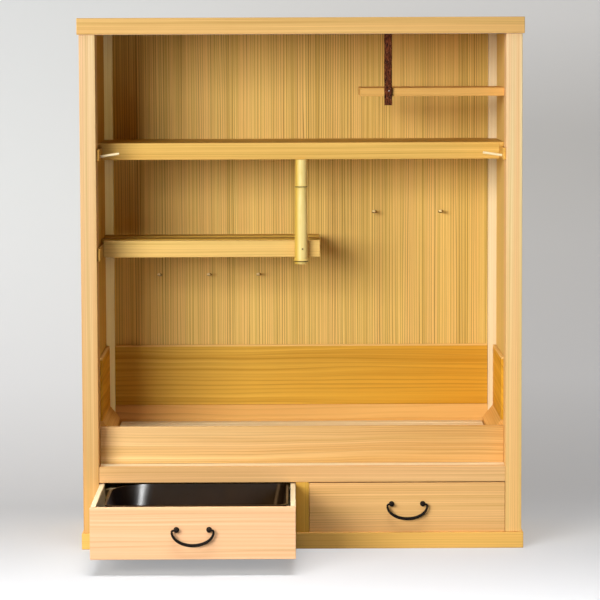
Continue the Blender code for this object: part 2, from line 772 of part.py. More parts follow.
def build_back_pegs(back_panel):
    """Two rows of bamboo pegs in the back panel, tipped up a little."""
    aim = (0.0, -math.cos(BACK_PEG_RISE), math.sin(BACK_PEG_RISE))
    low = LOWER_RAIL_BOTTOM - LOW_PEG_DROP
    high = UPPER_RAIL_BOTTOM - HIGH_PEG_DROP
    bed = BACK_PANEL_THICKNESS - PEG_FLOOR
    for index in range(LOW_PEG_COUNT):
        foot = (-PANEL_INNER + LOW_PEG_START + index * LOW_PEG_PITCH, BACK_PANEL_FRONT, low)
        peg(f"low_back_peg_{index + 1}", foot, aim, BACK_PEG_PROJECTION, bed, back_panel)
    for index in range(HIGH_PEG_COUNT):
        foot = (PANEL_INNER - HIGH_PEG_START - index * HIGH_PEG_PITCH, BACK_PANEL_FRONT, high)
        peg(f"high_back_peg_{index + 1}", foot, aim, BACK_PEG_PROJECTION, bed, back_panel)


def knob_profile():
    """Profile of a pull post, as (radius, distance in front of the drawer face) points."""
    profile = [(0.0, PULL_REACH + KNOB_RADIUS)]
    for index in range(1, KNOB_ARC_STEPS + 1):
        angle = math.pi / 2 - KNOB_ARC * index / KNOB_ARC_STEPS
        profile.append((KNOB_RADIUS * math.cos(angle), PULL_REACH + KNOB_RADIUS * math.sin(angle)))
    collar_top = SEAT + KNOB_COLLAR_HEIGHT
    tail = -DRAWER_FRONT_THICKNESS - SHANK_TAIL
    profile += [
        (KNOB_NECK_RADIUS, collar_top),
        (KNOB_COLLAR_RADIUS, collar_top),
        (KNOB_COLLAR_RADIUS, SEAT),
        (SHANK_RADIUS, SEAT),
        (SHANK_RADIUS, tail),
        (0.0, tail),
    ]
    return profile


def bail_path():
    """Centre line of a bail as (across, height) points, from the left pin to the right pin."""
    knob_side = PULL_SPAN / 2 + KNOB_RADIUS
    widest = knob_side + BAIL_BEND
    half = [(knob_side - BAIL_PIN_DEPTH, 0.0)]
    for index in range(BAIL_BEND_STEPS + 1):
        angle = math.pi / 2 * (1 - index / BAIL_BEND_STEPS)
        across = widest - BAIL_BEND * (1 - math.cos(angle))
        half.append((across, -BAIL_BEND * (1 - math.sin(angle))))
    for index in range(1, BAIL_SWEEP_STEPS):
        angle = math.pi / 2 * index / BAIL_SWEEP_STEPS
        height = -BAIL_BEND - (BAIL_DROP - BAIL_BEND) * math.sin(angle)
        half.append((widest * math.cos(angle), height))
    left = [(-across, height) for across, height in half]
    return left + [(0.0, -BAIL_DROP)] + half[::-1]


def bail_radius(height):
    """Wire radius of a bail at a height below its pins: it thickens towards the middle."""
    return BAIL_END_RADIUS + (BAIL_MIDDLE_RADIUS - BAIL_END_RADIUS) * -height / BAIL_DROP


def build_pull(drawer, side, front):
    """A bail pull on its two posts, at the middle of a drawer front."""
    height = DRAWER_HEIGHT / 2 + PULL_RISE
    curve = bpy.data.curves.new(f"{side}_bail", "CURVE")
    curve.dimensions = "3D"
    curve.bevel_depth = BAIL_MIDDLE_RADIUS
    curve.bevel_resolution = 2
    curve.use_fill_caps = True
    path = bail_path()
    spline = curve.splines.new("POLY")
    spline.points.add(len(path) - 1)
    for point, (across, drop) in zip(spline.points, path):
        point.co = (across, 0.0, drop, 1.0)
        point.radius = bail_radius(drop) / BAIL_MIDDLE_RADIUS
    add_object(f"{side}_bail", curve, IRON, (0.0, -PULL_REACH, height), drawer)
    for end, sign in (("left", -1), ("right", 1)):
        place = sign * PULL_SPAN / 2
        name = f"{side}_pull_{end}_post"
        knob = turned(name, knob_profile(), IRON, (place, 0.0, height), drawer, (math.pi / 2, 0.0, 0.0))
        eye_start = (place + sign * (KNOB_RADIUS - BAIL_PIN_DEPTH - PIN_PLAY), -PULL_REACH, height)
        eye_end = (place + sign * 2 * KNOB_RADIUS, -PULL_REACH, height)
        cut(knob, rod_mesh(name + "_eye", eye_start, eye_end, BAIL_END_RADIUS + PIN_PLAY))
        hole_start = (place, -DRAWER_FRONT_THICKNESS, height)
        hole_end = (place, 2 * DRAWER_FRONT_THICKNESS, height)
        cut(front, rod_mesh(name + "_hole", hole_start, hole_end, SHANK_RADIUS + SEAT))


def build_drawer(side, sign, opened):
    """One drawer, built round an empty on its bottom edge at the middle of its front face."""
    place = (sign * OPENING_CENTRE, DRAWER_FACE - opened, PLINTH_HEIGHT)
    drawer = add_empty(f"{side}_drawer", place)
    half = DRAWER_WIDTH / 2
    rise = DRAWER_BOTTOM_THICKNESS + 2 * SEAT
    top = DRAWER_HEIGHT - DRAWER_SIDE_DROP
    near = DRAWER_FRONT_THICKNESS + SEAT
    inner = half - DRAWER_SIDE_THICKNESS
    front = board(
        f"{side}_drawer_front",
        (-half, 0.0, SEAT),
        (half, DRAWER_FRONT_THICKNESS, DRAWER_HEIGHT),
        parent=drawer,
    )
    board(
        f"{side}_drawer_bottom",
        (-half, near, SEAT),
        (half, DRAWER_LENGTH, SEAT + DRAWER_BOTTOM_THICKNESS),
        parent=drawer,
    )
    board(f"{side}_drawer_left_side", (-half, near, rise), (-inner, DRAWER_LENGTH, top), parent=drawer)
    board(f"{side}_drawer_right_side", (inner, near, rise), (half, DRAWER_LENGTH, top), parent=drawer)
    board(
        f"{side}_drawer_back",
        (-inner + SEAT, DRAWER_LENGTH - DRAWER_BACK_THICKNESS, rise),
        (inner - SEAT, DRAWER_LENGTH, top - DRAWER_BACK_DROP),
        parent=drawer,
    )
    build_pull(drawer, side, front)
    return drawer


def build_tub(drawer):
    """The dark tub that stands in a drawer, a little off its middle."""
    inner = DRAWER_WIDTH / 2 - DRAWER_SIDE_THICKNESS
    rise = DRAWER_BOTTOM_THICKNESS + 2 * SEAT
    rim = DRAWER_HEIGHT - DRAWER_SIDE_DROP - TUB_RIM_DROP
    near = DRAWER_FRONT_THICKNESS + TUB_FRONT_GAP + TUB_RIM_WIDTH
    far = DRAWER_LENGTH - DRAWER_BACK_THICKNESS - TUB_BACK_GAP - TUB_RIM_WIDTH
    tray(
        "drawer_tub",
        (-inner + TUB_LEFT_GAP + TUB_RIM_WIDTH, near, rise),
        (inner - TUB_RIGHT_GAP - TUB_RIM_WIDTH, far, rim - TUB_WALL),
        TUB_RIM_WIDTH,
        TUB_WALL,
        TUB_CORNER,
        TUB_FOOT_RADIUS,
        LACQUER,
        drawer,
    )


def build_cabinet():
    """Builds every piece in its place."""
    build_plinth()
    back_panel = build_case()
    build_drawer_storey()
    build_sink()
    build_upper_shelf()
    build_lower_shelf()
    build_bamboo_hanger()
    build_corner_shelf()
    build_back_pegs(back_panel)
    left_drawer = build_drawer("left", -1, LEFT_DRAWER_OPEN)
    build_tub(left_drawer)
    build_drawer("right", 1, 0.0)


build_cabinet()
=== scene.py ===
"""Looks of the tea-preparation cabinet: cedar boards, bamboo, bark, black iron and a glossy tub.

Metres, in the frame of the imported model. The boards keep their solids and get solid-wood materials.
Cane, bark strip, pegs, pulls and tub are modelled again with finer shapes, and the upper shelf's rail
gets its two tongues.
"""

import logging
import math
from dataclasses import dataclass, replace
from enum import Enum
from typing import Any, Iterable, Sequence

import bmesh
import bpy
from mathutils import Matrix, Vector, noise


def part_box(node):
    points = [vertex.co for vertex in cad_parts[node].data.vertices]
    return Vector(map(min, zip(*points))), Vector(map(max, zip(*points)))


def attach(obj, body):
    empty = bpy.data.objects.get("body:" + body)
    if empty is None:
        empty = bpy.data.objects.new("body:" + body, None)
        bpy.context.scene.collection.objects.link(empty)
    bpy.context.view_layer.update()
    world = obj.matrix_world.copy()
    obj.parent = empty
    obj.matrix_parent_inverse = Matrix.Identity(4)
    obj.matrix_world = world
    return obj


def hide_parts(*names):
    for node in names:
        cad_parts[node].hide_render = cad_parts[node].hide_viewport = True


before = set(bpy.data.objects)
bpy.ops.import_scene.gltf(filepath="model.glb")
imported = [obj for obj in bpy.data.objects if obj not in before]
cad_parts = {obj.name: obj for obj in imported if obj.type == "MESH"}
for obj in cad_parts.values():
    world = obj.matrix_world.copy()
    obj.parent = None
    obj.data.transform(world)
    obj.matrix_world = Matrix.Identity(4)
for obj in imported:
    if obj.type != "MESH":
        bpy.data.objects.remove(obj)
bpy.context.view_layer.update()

# Short names of types
Colour = tuple[float, float, float]
Point = tuple[float, float, float]
Span = tuple[float, float]
Scales = tuple[float, float, float]
Socket = bpy.types.NodeSocket
Material = bpy.types.Material
Piece = bpy.types.Object
Shape = bmesh.types.BMesh

# Values that several pieces share
LOG = logging.getLogger("cabinet")
NOISE_SPAN: Span = (0.3, 0.7)
NAIL_FACETS = (16, 8)
MERGE_DISTANCE = 1e-6


class GrainRun(Enum):
    """Which way a board's grain runs, and the two axes across it."""

    ACROSS = ("X", "Y", "Z")
    DEEP = ("Y", "X", "Z")
    UPRIGHT = ("Z", "X", "Y")


class Painter:
    """A new material's node tree, with short calls that add and join nodes."""

    def __init__(self, name: str) -> None:
        """Starts a material with only a Principled shader.

        Args:
            name: Name of the material.
        """
        self.material = bpy.data.materials.new(name)
        self.material.use_nodes = True
        self.tree = self.material.node_tree
        self.shader = self.tree.nodes["Principled BSDF"]

    def set(self, socket: Socket, value: Any) -> None:
        """Joins a socket to an output, or gives it a value.

        Args:
            socket: Input to fill.
            value: Output socket, number, vector or colour.
        """
        if isinstance(value, bpy.types.NodeSocket):
            self.tree.links.new(value, socket)
        elif socket.type == "RGBA" and len(value) == 3:
            socket.default_value = (*value, 1.0)
        else:
            socket.default_value = value

    def finish(self, **values: Any) -> Material:
        """Fills sockets of the shader.

        Args:
            **values: Socket names with underscores for spaces, and what goes into them.

        Returns:
            The finished material.
        """
        for name, value in values.items():
            self.set(self.shader.inputs[name.replace("_", " ")], value)
        return self.material

    def object_axes(self) -> dict[str, Socket]:
        """Splits the object coordinates.

        Returns:
            Three outputs, named X, Y and Z.
        """
        place = self.tree.nodes.new("ShaderNodeTexCoord")
        split = self.tree.nodes.new("ShaderNodeSeparateXYZ")
        self.set(split.inputs[0], place.outputs["Object"])
        return {axis: split.outputs[axis] for axis in "XYZ"}

    def join(self, first: Any, second: Any, third: Any) -> Socket:
        """Makes a vector of three numbers or outputs.

        Args:
            first: Its X.
            second: Its Y.
            third: Its Z.

        Returns:
            The vector.
        """
        node = self.tree.nodes.new("ShaderNodeCombineXYZ")
        for socket, value in zip(node.inputs, (first, second, third)):
            self.set(socket, value)
        return node.outputs[0]

    def sum(self, operation: str, first: Any, second: Any = 0.0, third: Any = 0.0) -> Socket:
        """Works out a sum with a Math node.

        Args:
            operation: Name of the operation.
            first: Its first number or output.
            second: Its second one, where the operation has one.
            third: Its third one, where the operation has one.

        Returns:
            The result.
        """
        node = self.tree.nodes.new("ShaderNodeMath")
        node.operation = operation
        for socket, value in zip(node.inputs, (first, second, third)):
            self.set(socket, value)
        return node.outputs[0]

    def noise(self, vector: Socket, detail: float = 2.0, roughness: float = 0.5) -> Socket:
        """Makes fractal noise.

        Args:
            vector: Place in the noise, already scaled.
            detail: Number of finer layers.
            roughness: Strength of the finer layers.

        Returns:
            The noise, from 0 to 1.
        """
        node = self.tree.nodes.new("ShaderNodeTexNoise")
        self.set(node.inputs["Vector"], vector)
        self.set(node.inputs["Scale"], 1.0)
        self.set(node.inputs["Detail"], detail)
        self.set(node.inputs["Roughness"], roughness)
        return node.outputs["Fac"]

    def stretched_noise(self, places: Iterable[Socket], scales: Scales, detail: float = 2.0,
                        roughness: float = 0.5) -> Socket:
        """Makes fractal noise with a scale of its own along each axis.

        Args:
            places: Three coordinates.
            scales: Cells of the noise in a metre along each of them.
            detail: Number of finer layers.
            roughness: Strength of the finer layers.

        Returns:
            The noise, from 0 to 1.
        """
        scaled = [self.sum("MULTIPLY", place, scale) for place, scale in zip(places, scales)]
        return self.noise(self.join(*scaled), detail, roughness)

    def ramp(self, factor: Socket, span: Span, start: Colour, end: Colour) -> Socket:
        """Turns a factor into a colour between two.

        Args:
            factor: Output from 0 to 1.
            span: Factors at which the two colours are reached.
            start: Colour at the lower one.
            end: Colour at the upper one.

        Returns:
            The colour.
        """
        node = self.tree.nodes.new("ShaderNodeValToRGB")
        for element, place, colour in zip(node.color_ramp.elements, span, (start, end)):
            element.position = place
            element.color = (*colour, 1.0)
        self.set(node.inputs["Fac"], factor)
        return node.outputs["Color"]

    def level(self, value: Socket, span: Span, start: float = 0.0, end: float = 1.0) -> Socket:
        """Maps a value from one span to another, and holds it there.

        Args:
            value: Output to map.
            span: Values that are mapped to the new span's ends.
            start: Result at the span's first end and before it.
            end: Result at the span's second end and past it.

        Returns:
            The mapped value.
        """
        node = self.tree.nodes.new("ShaderNodeMapRange")
        names = ("From Min", "From Max", "To Min", "To Max")
        for name, number in zip(names, (*span, start, end)):
            self.set(node.inputs[name], number)
        self.set(node.inputs["Value"], value)
        return node.outputs["Result"]

    def blend(self, factor: Any, first: Any, second: Any, mode: str = "MIX") -> Socket:
        """Mixes two colours.

        Args:
            factor: Share of the second one.
            first: Colour or output.
            second: Colour or output.
            mode: Name of the way they mix.

        Returns:
            The mixed colour.
        """
        node = self.tree.nodes.new("ShaderNodeMix")
        node.data_type = "RGBA"
        node.blend_type = mode
        sockets = [socket for socket in node.inputs if socket.enabled]
        for socket, value in zip(sockets, (factor, first, second)):
            self.set(socket, value)
        return next(socket for socket in node.outputs if socket.enabled)

    def bump(self, height: Socket, distance: float, strength: float = 1.0) -> Socket:
        """Raises the surface by a pattern, in its shading only.

        Args:
            height: Output from 0 to 1.
            distance: Height of a 1, in metres.
            strength: Share of the bump that shows.

        Returns:
            The bumped normal.
        """
        node = self.tree.nodes.new("ShaderNodeBump")
        self.set(node.inputs["Height"], height)
        self.set(node.inputs["Distance"], distance)
        self.set(node.inputs["Strength"], strength)
        return node.outputs["Normal"]

    def mix_shaders(self, factor: Socket, first: Socket, second: Socket) -> Socket:
        """Mixes two shaders.

        Args:
            factor: Share of the second one.
            first: Output of the first shader.
            second: Output of the second shader.

        Returns:
            The mixed shader.
        """
        node = self.tree.nodes.new("ShaderNodeMixShader")
        for socket, value in zip(node.inputs, (factor, first, second)):
            self.set(socket, value)
        return node.outputs[0]


@dataclass(frozen=True)
class CedarFinish:
    """Planed straight-grained cedar, as a solid pattern of growth rings round a distant heart."""

    light: Colour
    dark: Colour
    blush: Colour
    line: Colour
    brightest: float = 0.97
    streak_pitch: float = 0.0060
    streak_edge: Span = (0.30, 0.70)
    streak_detail: float = 3.0
    streak_roughness: float = 0.6
    band_pitch: float = 0.045
    band_edge: Span = (0.40, 0.64)
    band_depth: float = 0.8
    band_seed: float = 3.0
    drift_rate: float = 0.7
    wander: float = 0.006
    wander_scales: Scales = (5.0, 5.0, 1.6)
    pore_scales: Scales = (900.0, 900.0, 14.0)
    pore_edge: Span = (0.58, 0.80)
    pore_depth: float = 0.16
    pore_relief: float = 0.5
    ring_pitch: float = 0.0052
    ring_depth: float = 0.45
    ring_edge: Span = (0.40, 0.90)
    ring_power: float = 2.0
    group_rate: float = 0.23
    group_seed: float = 7.0
    group_shift: float = 3.0
    strength_rate: float = 0.41
    strength_seed: float = 11.0
    strength_edge: Span = (0.36, 0.66)
    faintest: float = 0.15
    # Painted light and shade: tones multiplied into the colour, from the near end of the span along the
    # grain to its far end
    near_painted_light: Colour = (1.0, 1.0, 1.0)
    far_painted_light: Colour = (1.0, 1.0, 1.0)
    painted_light_span: Span = (0.0, 1.0)
    # Painted highlight: a paler colour along the lit top edge of a board
    wear_and_highlight: Colour = (0.86, 0.56, 0.20)
    highlight_width: float = 0.0055
    highlight_fade: float = 0.6
    highlight_depth: float = 0.85
    roughness: float = 0.52
    dulled: float = 0.06
    polished: float = 0.05
    relief: float = 0.00012
    relief_strength: float = 0.6
    specular: float = 0.15

    def toned(self, red: float, green: float, blue: float) -> "CedarFinish":
        """Makes the same cut of cedar in another tone.

        Args:
            red: Factor of the red light that it gives back.
            green: Factor of the green light.
            blue: Factor of the blue light.

        Returns:
            The toned finish.
        """
        factors = (red, green, blue)
        shades = {}
        for shade in ("light", "dark", "blush", "line"):
            scaled = (part * factor for part, factor in zip(getattr(self, shade), factors))
            shades[shade] = tuple(min(part, self.brightest) for part in scaled)
        return replace(self, **shades)

    def material(self, name: str, run: GrainRun, heart: Span, start: float,
                 highlight_top: float | None = None) -> Material:
        """Makes the material of one board.

        Args:
            name: Name of the board.
            run: Way the grain runs.
            heart: Place of the tree's heart on the two axes across the grain, in metres.
            start: Distance along the log where the board begins, so that no two boards are alike.
            highlight_top: Height of a top edge that is painted paler as a highlight, or None.

        Returns:
            The new material.
        """
        paint = Painter(f"{name}_cedar")
        axes = paint.object_axes()
        length, first, second = (axes[axis] for axis in run.value)
        along = paint.sum("ADD", length, start)
        first = paint.sum("SUBTRACT", first, heart[0])
        second = paint.sum("SUBTRACT", second, heart[1])
        places = (first, second, along)
        squares = [paint.sum("MULTIPLY", place, place) for place in (first, second)]
        reach = paint.sum("SQRT", paint.sum("ADD", *squares))
        slow = paint.stretched_noise(places, self.wander_scales)
        ring = paint.sum("MULTIPLY_ADD", slow, self.wander, reach)
        drift = paint.sum("MULTIPLY", along, self.drift_rate)
        streaks = paint.join(paint.sum("DIVIDE", ring, self.streak_pitch), drift, start)
        streak = paint.noise(streaks, self.streak_detail, self.streak_roughness)
        bands = paint.join(paint.sum("DIVIDE", ring, self.band_pitch), drift, start + self.band_seed)
        band = paint.noise(bands)
        late = self._late_wood(paint, ring, drift, start)
        pores = paint.stretched_noise(places, self.pore_scales)
        colour = paint.blend(paint.level(streak, self.streak_edge), self.dark, self.light)
        colour = paint.blend(paint.level(band, self.band_edge, 0.0, self.band_depth), colour, self.blush)
        colour = paint.blend(paint.sum("MULTIPLY", late, self.ring_depth), colour, self.line)
        colour = paint.blend(paint.level(pores, self.pore_edge, 0.0, self.pore_depth), colour, self.line)
        # Painted light and shade: the colour is multiplied by a tone that changes along the board
        if self.near_painted_light != self.far_painted_light:
            tone = paint.blend(paint.level(length, self.painted_light_span), self.near_painted_light, self.far_painted_light)
            colour = paint.blend(1.0, colour, tone, "MULTIPLY")
        # Painted highlight: the top edge is painted paler, where light catches it
        if highlight_top is not None:
            edge = (highlight_top - self.highlight_width, highlight_top - self.highlight_fade * self.highlight_width)
            colour = paint.blend(paint.level(axes["Z"], edge, 0.0, self.highlight_depth), colour, self.wear_and_highlight)
        gloss = paint.level(streak, NOISE_SPAN, self.roughness + self.dulled,
                            self.roughness - self.polished)
        hollow = paint.sum("MULTIPLY_ADD", pores, self.pore_relief, late)
        height = paint.sum("SUBTRACT", 1.0, hollow)
        return paint.finish(
            Base_Color=colour,
            Roughness=gloss,
            Normal=paint.bump(height, self.relief, self.relief_strength),
            Specular_IOR_Level=self.specular,
        )

    def _late_wood(self, paint: Painter, ring: Socket, drift: Socket, start: float) -> Socket:
        """Works out the thin dark line that ends each year's ring.

        Args:
            paint: Painter of the material.
            ring: Distance from the heart.
            drift: Distance along the log, shortened.
            start: Distance along the log where the board begins.

        Returns:
            Output that is 1 on the strongest lines and 0 between them.
        """
        years = paint.sum("DIVIDE", ring, self.ring_pitch)
        groups = paint.join(paint.sum("MULTIPLY", years, self.group_rate), drift, start + self.group_seed)
        shifted = paint.sum("MULTIPLY_ADD", paint.noise(groups), self.group_shift, years)
        phase = paint.sum("FRACT", shifted)
        rise = paint.sum("POWER", paint.level(phase, self.ring_edge), self.ring_power)
        fall = paint.level(phase, (self.ring_edge[1], 1.0), 1.0, 0.0)
        spread = paint.join(paint.sum("MULTIPLY", years, self.strength_rate), drift,
                            start + self.strength_seed)
        strength = paint.level(paint.noise(spread), self.strength_edge, self.faintest, 1.0)
        return paint.sum("MULTIPLY", paint.sum("MULTIPLY", rise, fall), strength)


@dataclass(frozen=True)
class BambooFinish:
    """Smooth pale bamboo skin with fine fibres and a dark scar at each joint of the cane."""

    skin: Colour = (0.93, 0.75, 0.30)
    shade: Colour = (0.66, 0.45, 0.07)
    fibre_scales: Scales = (420.0, 420.0, 7.0)
    fibre_detail: float = 3.0
    fibre_roughness: float = 0.6
    fibre_edge: Span = (0.42, 0.75)
    fibre_depth: float = 0.45
    patch_scales: Scales = (60.0, 60.0, 16.0)
    patch_edge: Span = (0.52, 0.75)
    patch_depth: float = 0.40
    scar: Colour = (0.10, 0.055, 0.012)
    scar_width: float = 0.0012
    scar_edge: Span = (0.5, 1.4)
    scar_wave: float = 0.0016
    stain_reach: float = 9.0
    stain_depth: float = 0.30
    # Painted shade: a deeper, darker yellow along the cane's left side
    painted_shade_flank: Colour = (0.70, 0.45, 0.06)
    painted_shade_width: float = 0.008
    painted_shade_depth: float = 0.9
    cut: Colour = (0.97, 0.79, 0.40)
    cut_depth: float = 0.0005
    roughness: Span = (0.36, 0.48)
    relief: float = 0.00010
    relief_strength: float = 0.5
    specular: float = 0.22

    def material(self, name: str, run: GrainRun, scars: Sequence[float] = (),
                 painted_shade_start: float | None = None, cut_end: float | None = None) -> Material:
        """Makes the material of a cane or a peg.

        Args:
            name: Name of the piece.
            run: Way the cane runs.
            scars: Places of the joints' dark scars along the cane.
            painted_shade_start: Place across the cane where the painted shade on its deeper yellow left
                side starts, or None.
            cut_end: Place along the piece up to which its cut end shows paler wood, or None.

        Returns:
            The new material.
        """
        paint = Painter(f"{name}_bamboo")
        axes = paint.object_axes()
        along, first, second = (axes[axis] for axis in run.value)
        places = (first, second, along)
        fibre = paint.stretched_noise(places, self.fibre_scales, self.fibre_detail, self.fibre_roughness)
        patch = paint.stretched_noise(places, self.patch_scales)
        fibres = paint.level(fibre, self.fibre_edge, 0.0, self.fibre_depth)
        patches = paint.level(patch, self.patch_edge, 0.0, self.patch_depth)
        colour = paint.blend(fibres, self.skin, self.shade)
        colour = paint.blend(patches, colour, self.shade)
        # Painted shade: the cane's left side is painted a deeper, darker yellow
        if painted_shade_start is not None:
            edge = (painted_shade_start - self.painted_shade_width, painted_shade_start)
            colour = paint.blend(paint.level(first, edge, self.painted_shade_depth, 0.0), colour, self.painted_shade_flank)
        if cut_end is not None:
            edge = (cut_end, cut_end + self.cut_depth)
            colour = paint.blend(paint.level(along, edge, 1.0, 0.0), colour, self.cut)
        wave = paint.sum("MULTIPLY_ADD", patch, self.scar_wave, along)
        dark_span = tuple(self.scar_width * share for share in self.scar_edge)
        stain_span = (0.0, self.scar_width * self.stain_reach)
        for scar in scars:
            off = paint.sum("ABSOLUTE", paint.sum("SUBTRACT", wave, scar + self.scar_wave / 2))
            colour = paint.blend(paint.level(off, stain_span, self.stain_depth, 0.0), colour, self.shade)
            colour = paint.blend(paint.level(off, dark_span, 1.0, 0.0), colour, self.scar)
        return paint.finish(
            Base_Color=colour,
            Roughness=paint.level(fibre, NOISE_SPAN, *self.roughness),
            Normal=paint.bump(fibre, self.relief, self.relief_strength),
            Specular_IOR_Level=self.specular,
        )


@dataclass(frozen=True)
class BarkFinish:
    """Dark red-brown bark with pale flecks and rough lengthwise cracks."""

    deep: Colour = (0.010, 0.002, 0.001)
    ridge: Colour = (0.170, 0.040, 0.0105)
    ridge_scales: Scales = (260.0, 260.0, 90.0)
    ridge_detail: float = 5.0
    ridge_roughness: float = 0.65
    ridge_edge: Span = (0.40, 0.60)
    fleck: Colour = (0.40, 0.18, 0.085)
    fleck_scales: Scales = (420.0, 420.0, 330.0)
    fleck_edge: Span = (0.64, 0.72)
    fleck_depth: float = 0.8
    roughness: Span = (0.9, 0.7)
    relief: float = 0.0012
    specular: float = 0.15

    def material(self, name: str) -> Material:
        """Makes the bark's material.

        Args:
            name: Name of the piece.

        Returns:
            The new material.
        """
        paint = Painter(f"{name}_bark")
        places = paint.object_axes().values()
        ridges = paint.stretched_noise(places, self.ridge_scales, self.ridge_detail, self.ridge_roughness)
        spots = paint.stretched_noise(places, self.fleck_scales)
        flecks = paint.level(spots, self.fleck_edge, 0.0, self.fleck_depth)
        colour = paint.ramp(ridges, self.ridge_edge, self.deep, self.ridge)
        colour = paint.blend(flecks, colour, self.fleck)
        return paint.finish(
            Base_Color=colour,
            Roughness=paint.level(ridges, NOISE_SPAN, *self.roughness),
            Normal=paint.bump(ridges, self.relief),
            Specular_IOR_Level=self.specular,
        )


@dataclass(frozen=True)
class IronFinish:
    """Blackened iron with a faint hammered surface."""

    black: Colour = (0.0035, 0.0028, 0.0024)
    wear_and_highlight: Colour = (0.010, 0.0075, 0.0062)
    mottle_scales: Scales = (190.0, 190.0, 190.0)
    mottle_detail: float = 3.0
    mottle_roughness: float = 0.6
    mottle_edge: Span = (0.38, 0.72)
    roughness: Span = (0.50, 0.66)
    relief: float = 0.0004
    relief_strength: float = 0.5
    specular: float = 0.12
    tint: Colour = (1.0, 0.82, 0.70)

    def material(self, name: str) -> Material:
        """Makes the iron's material.

        Args:
            name: Name of the piece.

        Returns:
            The new material.
        """
        paint = Painter(f"{name}_iron")
        places = paint.object_axes().values()
        mottle = paint.stretched_noise(places, self.mottle_scales, self.mottle_detail,
                                       self.mottle_roughness)
        return paint.finish(
            Base_Color=paint.ramp(mottle, self.mottle_edge, self.black, self.wear_and_highlight),
            Roughness=paint.level(mottle, NOISE_SPAN, *self.roughness),
            Normal=paint.bump(mottle, self.relief, self.relief_strength),
            Specular_IOR_Level=self.specular,
            Specular_Tint=self.tint,
        )


@dataclass(frozen=True)
class TubFinish:
    """Glossy dark brown moulded plastic, with slow waves that bend its reflections."""

    deep: Colour = (0.008, 0.0035, 0.0012)
    brown: Colour = (0.014, 0.006, 0.0020)
    wave_scales: Scales = (14.0, 14.0, 14.0)
    wave_detail: float = 1.0
    wave_edge: Span = (0.35, 0.65)
    dust_scales: Scales = (240.0, 240.0, 240.0)
    dust_detail: float = 3.0
    dust_edge: Span = (0.3, 0.8)
    roughness: Span = (0.27, 0.35)
    relief: float = 0.0022
    specular: float = 0.11
    tint: Colour = (1.0, 0.60, 0.28)

    def material(self, name: str) -> Material:
        """Makes the tub's material.

        Args:
            name: Name of the piece.

        Returns:
            The new material.
        """
        paint = Painter(f"{name}_plastic")
        places = paint.object_axes().values()
        wave = paint.stretched_noise(places, self.wave_scales, self.wave_detail)
        dust = paint.stretched_noise(places, self.dust_scales, self.dust_detail)
        return paint.finish(
            Base_Color=paint.ramp(wave, self.wave_edge, self.deep, self.brown),
            Roughness=paint.level(dust, self.dust_edge, *self.roughness),
            Normal=paint.bump(wave, self.relief),
            Specular_IOR_Level=self.specular,
            Specular_Tint=self.tint,
        )


@dataclass(frozen=True)
class NailFinish:
    """Bright or dark metal of a nail head, with a brushed mottle."""

    dull: Colour
    bright: Colour
    mottle_scales: Scales = (1500.0, 1500.0, 1500.0)
    mottle_edge: Span = (0.35, 0.7)
    roughness: Span = (0.3, 0.45)

    def material(self, name: str) -> Material:
        """Makes the nail's material.

        Args:
            name: Name of the piece.

        Returns:
            The new material.
        """
        paint = Painter(f"{name}_nail")
        mottle = paint.stretched_noise(paint.object_axes().values(), self.mottle_scales)
        return paint.finish(
            Base_Color=paint.ramp(mottle, self.mottle_edge, self.dull, self.bright),
            Roughness=paint.level(mottle, NOISE_SPAN, *self.roughness),
            Metallic=1.0,
        )


@dataclass(frozen=True)
class PaperFinish:
    """Pale paper of the studio: grey to the light, nearly white to the eye and clear from behind."""

    lit: Colour = (0.22, 0.22, 0.22)
    seen: Colour = (0.69, 0.70, 0.72)
    floor_glow: Colour = (0.86, 0.86, 0.88)
    # Painted light and shade on the backdrop: the glow is brighter on the left and darker on the right
    lit_left_glow: Colour = (0.97, 1.0, 1.0)
    shaded_right_glow: Colour = (0.84, 0.83, 0.82)
    side_span: Span = (-1.1, 1.1)
    side_edge: Span = (0.1, 0.9)
    wall_rise: Span = (0.02, 0.9)
    top_shade_rise: Span = (0.7, 1.5)
    # Painted shade: share of the glow that is left at the top of the wall
    fall: float = 0.85
    share_rise: Span = (0.02, 0.30)
    share: Span = (0.38, 0.52)
    roughness: float = 0.8

    def material(self) -> Material:
        """Makes the paper's material.

        Returns:
            The new material.
        """
        paint = Painter("pale_paper")
        nodes = paint.tree.nodes
        axes = paint.object_axes()
        path = nodes.new("ShaderNodeLightPath").outputs
        mirrored = paint.sum("MAXIMUM", path["Is Glossy Ray"], path["Is Transmission Ray"])
        seen = paint.sum("MAXIMUM", path["Is Camera Ray"], mirrored)
        glow = nodes.new("ShaderNodeEmission")
        paint.set(glow.inputs["Color"], self._glow(paint, axes))
        share = paint.sum("MULTIPLY", seen, paint.level(axes["Z"], self.share_rise, *self.share))
        front = paint.mix_shaders(share, paint.shader.outputs[0], glow.outputs[0])
        behind = nodes.new("ShaderNodeNewGeometry").outputs["Backfacing"]
        clear = nodes.new("ShaderNodeBsdfTransparent").outputs[0]
        sided = paint.mix_shaders(behind, front, clear)
        paint.set(nodes["Material Output"].inputs["Surface"], sided)
        return paint.finish(Base_Color=paint.blend(seen, self.lit, self.seen), Roughness=self.roughness)

    def _glow(self, paint: Painter, axes: dict[str, Socket]) -> Socket:
        """Works out the white that the paper is lifted towards, with painted light and shade: brighter and
        cooler on the left, darker on the right and towards the top.

        Args:
            paint: Painter of the material.
            axes: Object coordinates.

        Returns:
            The colour.
        """
        side = paint.level(axes["X"], self.side_span)
        wall = paint.ramp(side, self.side_edge, self.lit_left_glow, self.shaded_right_glow)
        # Painted shade: the wall's glow is darkened towards the top
        fall = paint.level(axes["Z"], self.top_shade_rise, 1.0, self.fall)
        wall = paint.blend(1.0, wall, paint.join(fall, fall, fall), "MULTIPLY")
        return paint.blend(paint.level(axes["Z"], self.wall_rise), self.floor_glow, wall)


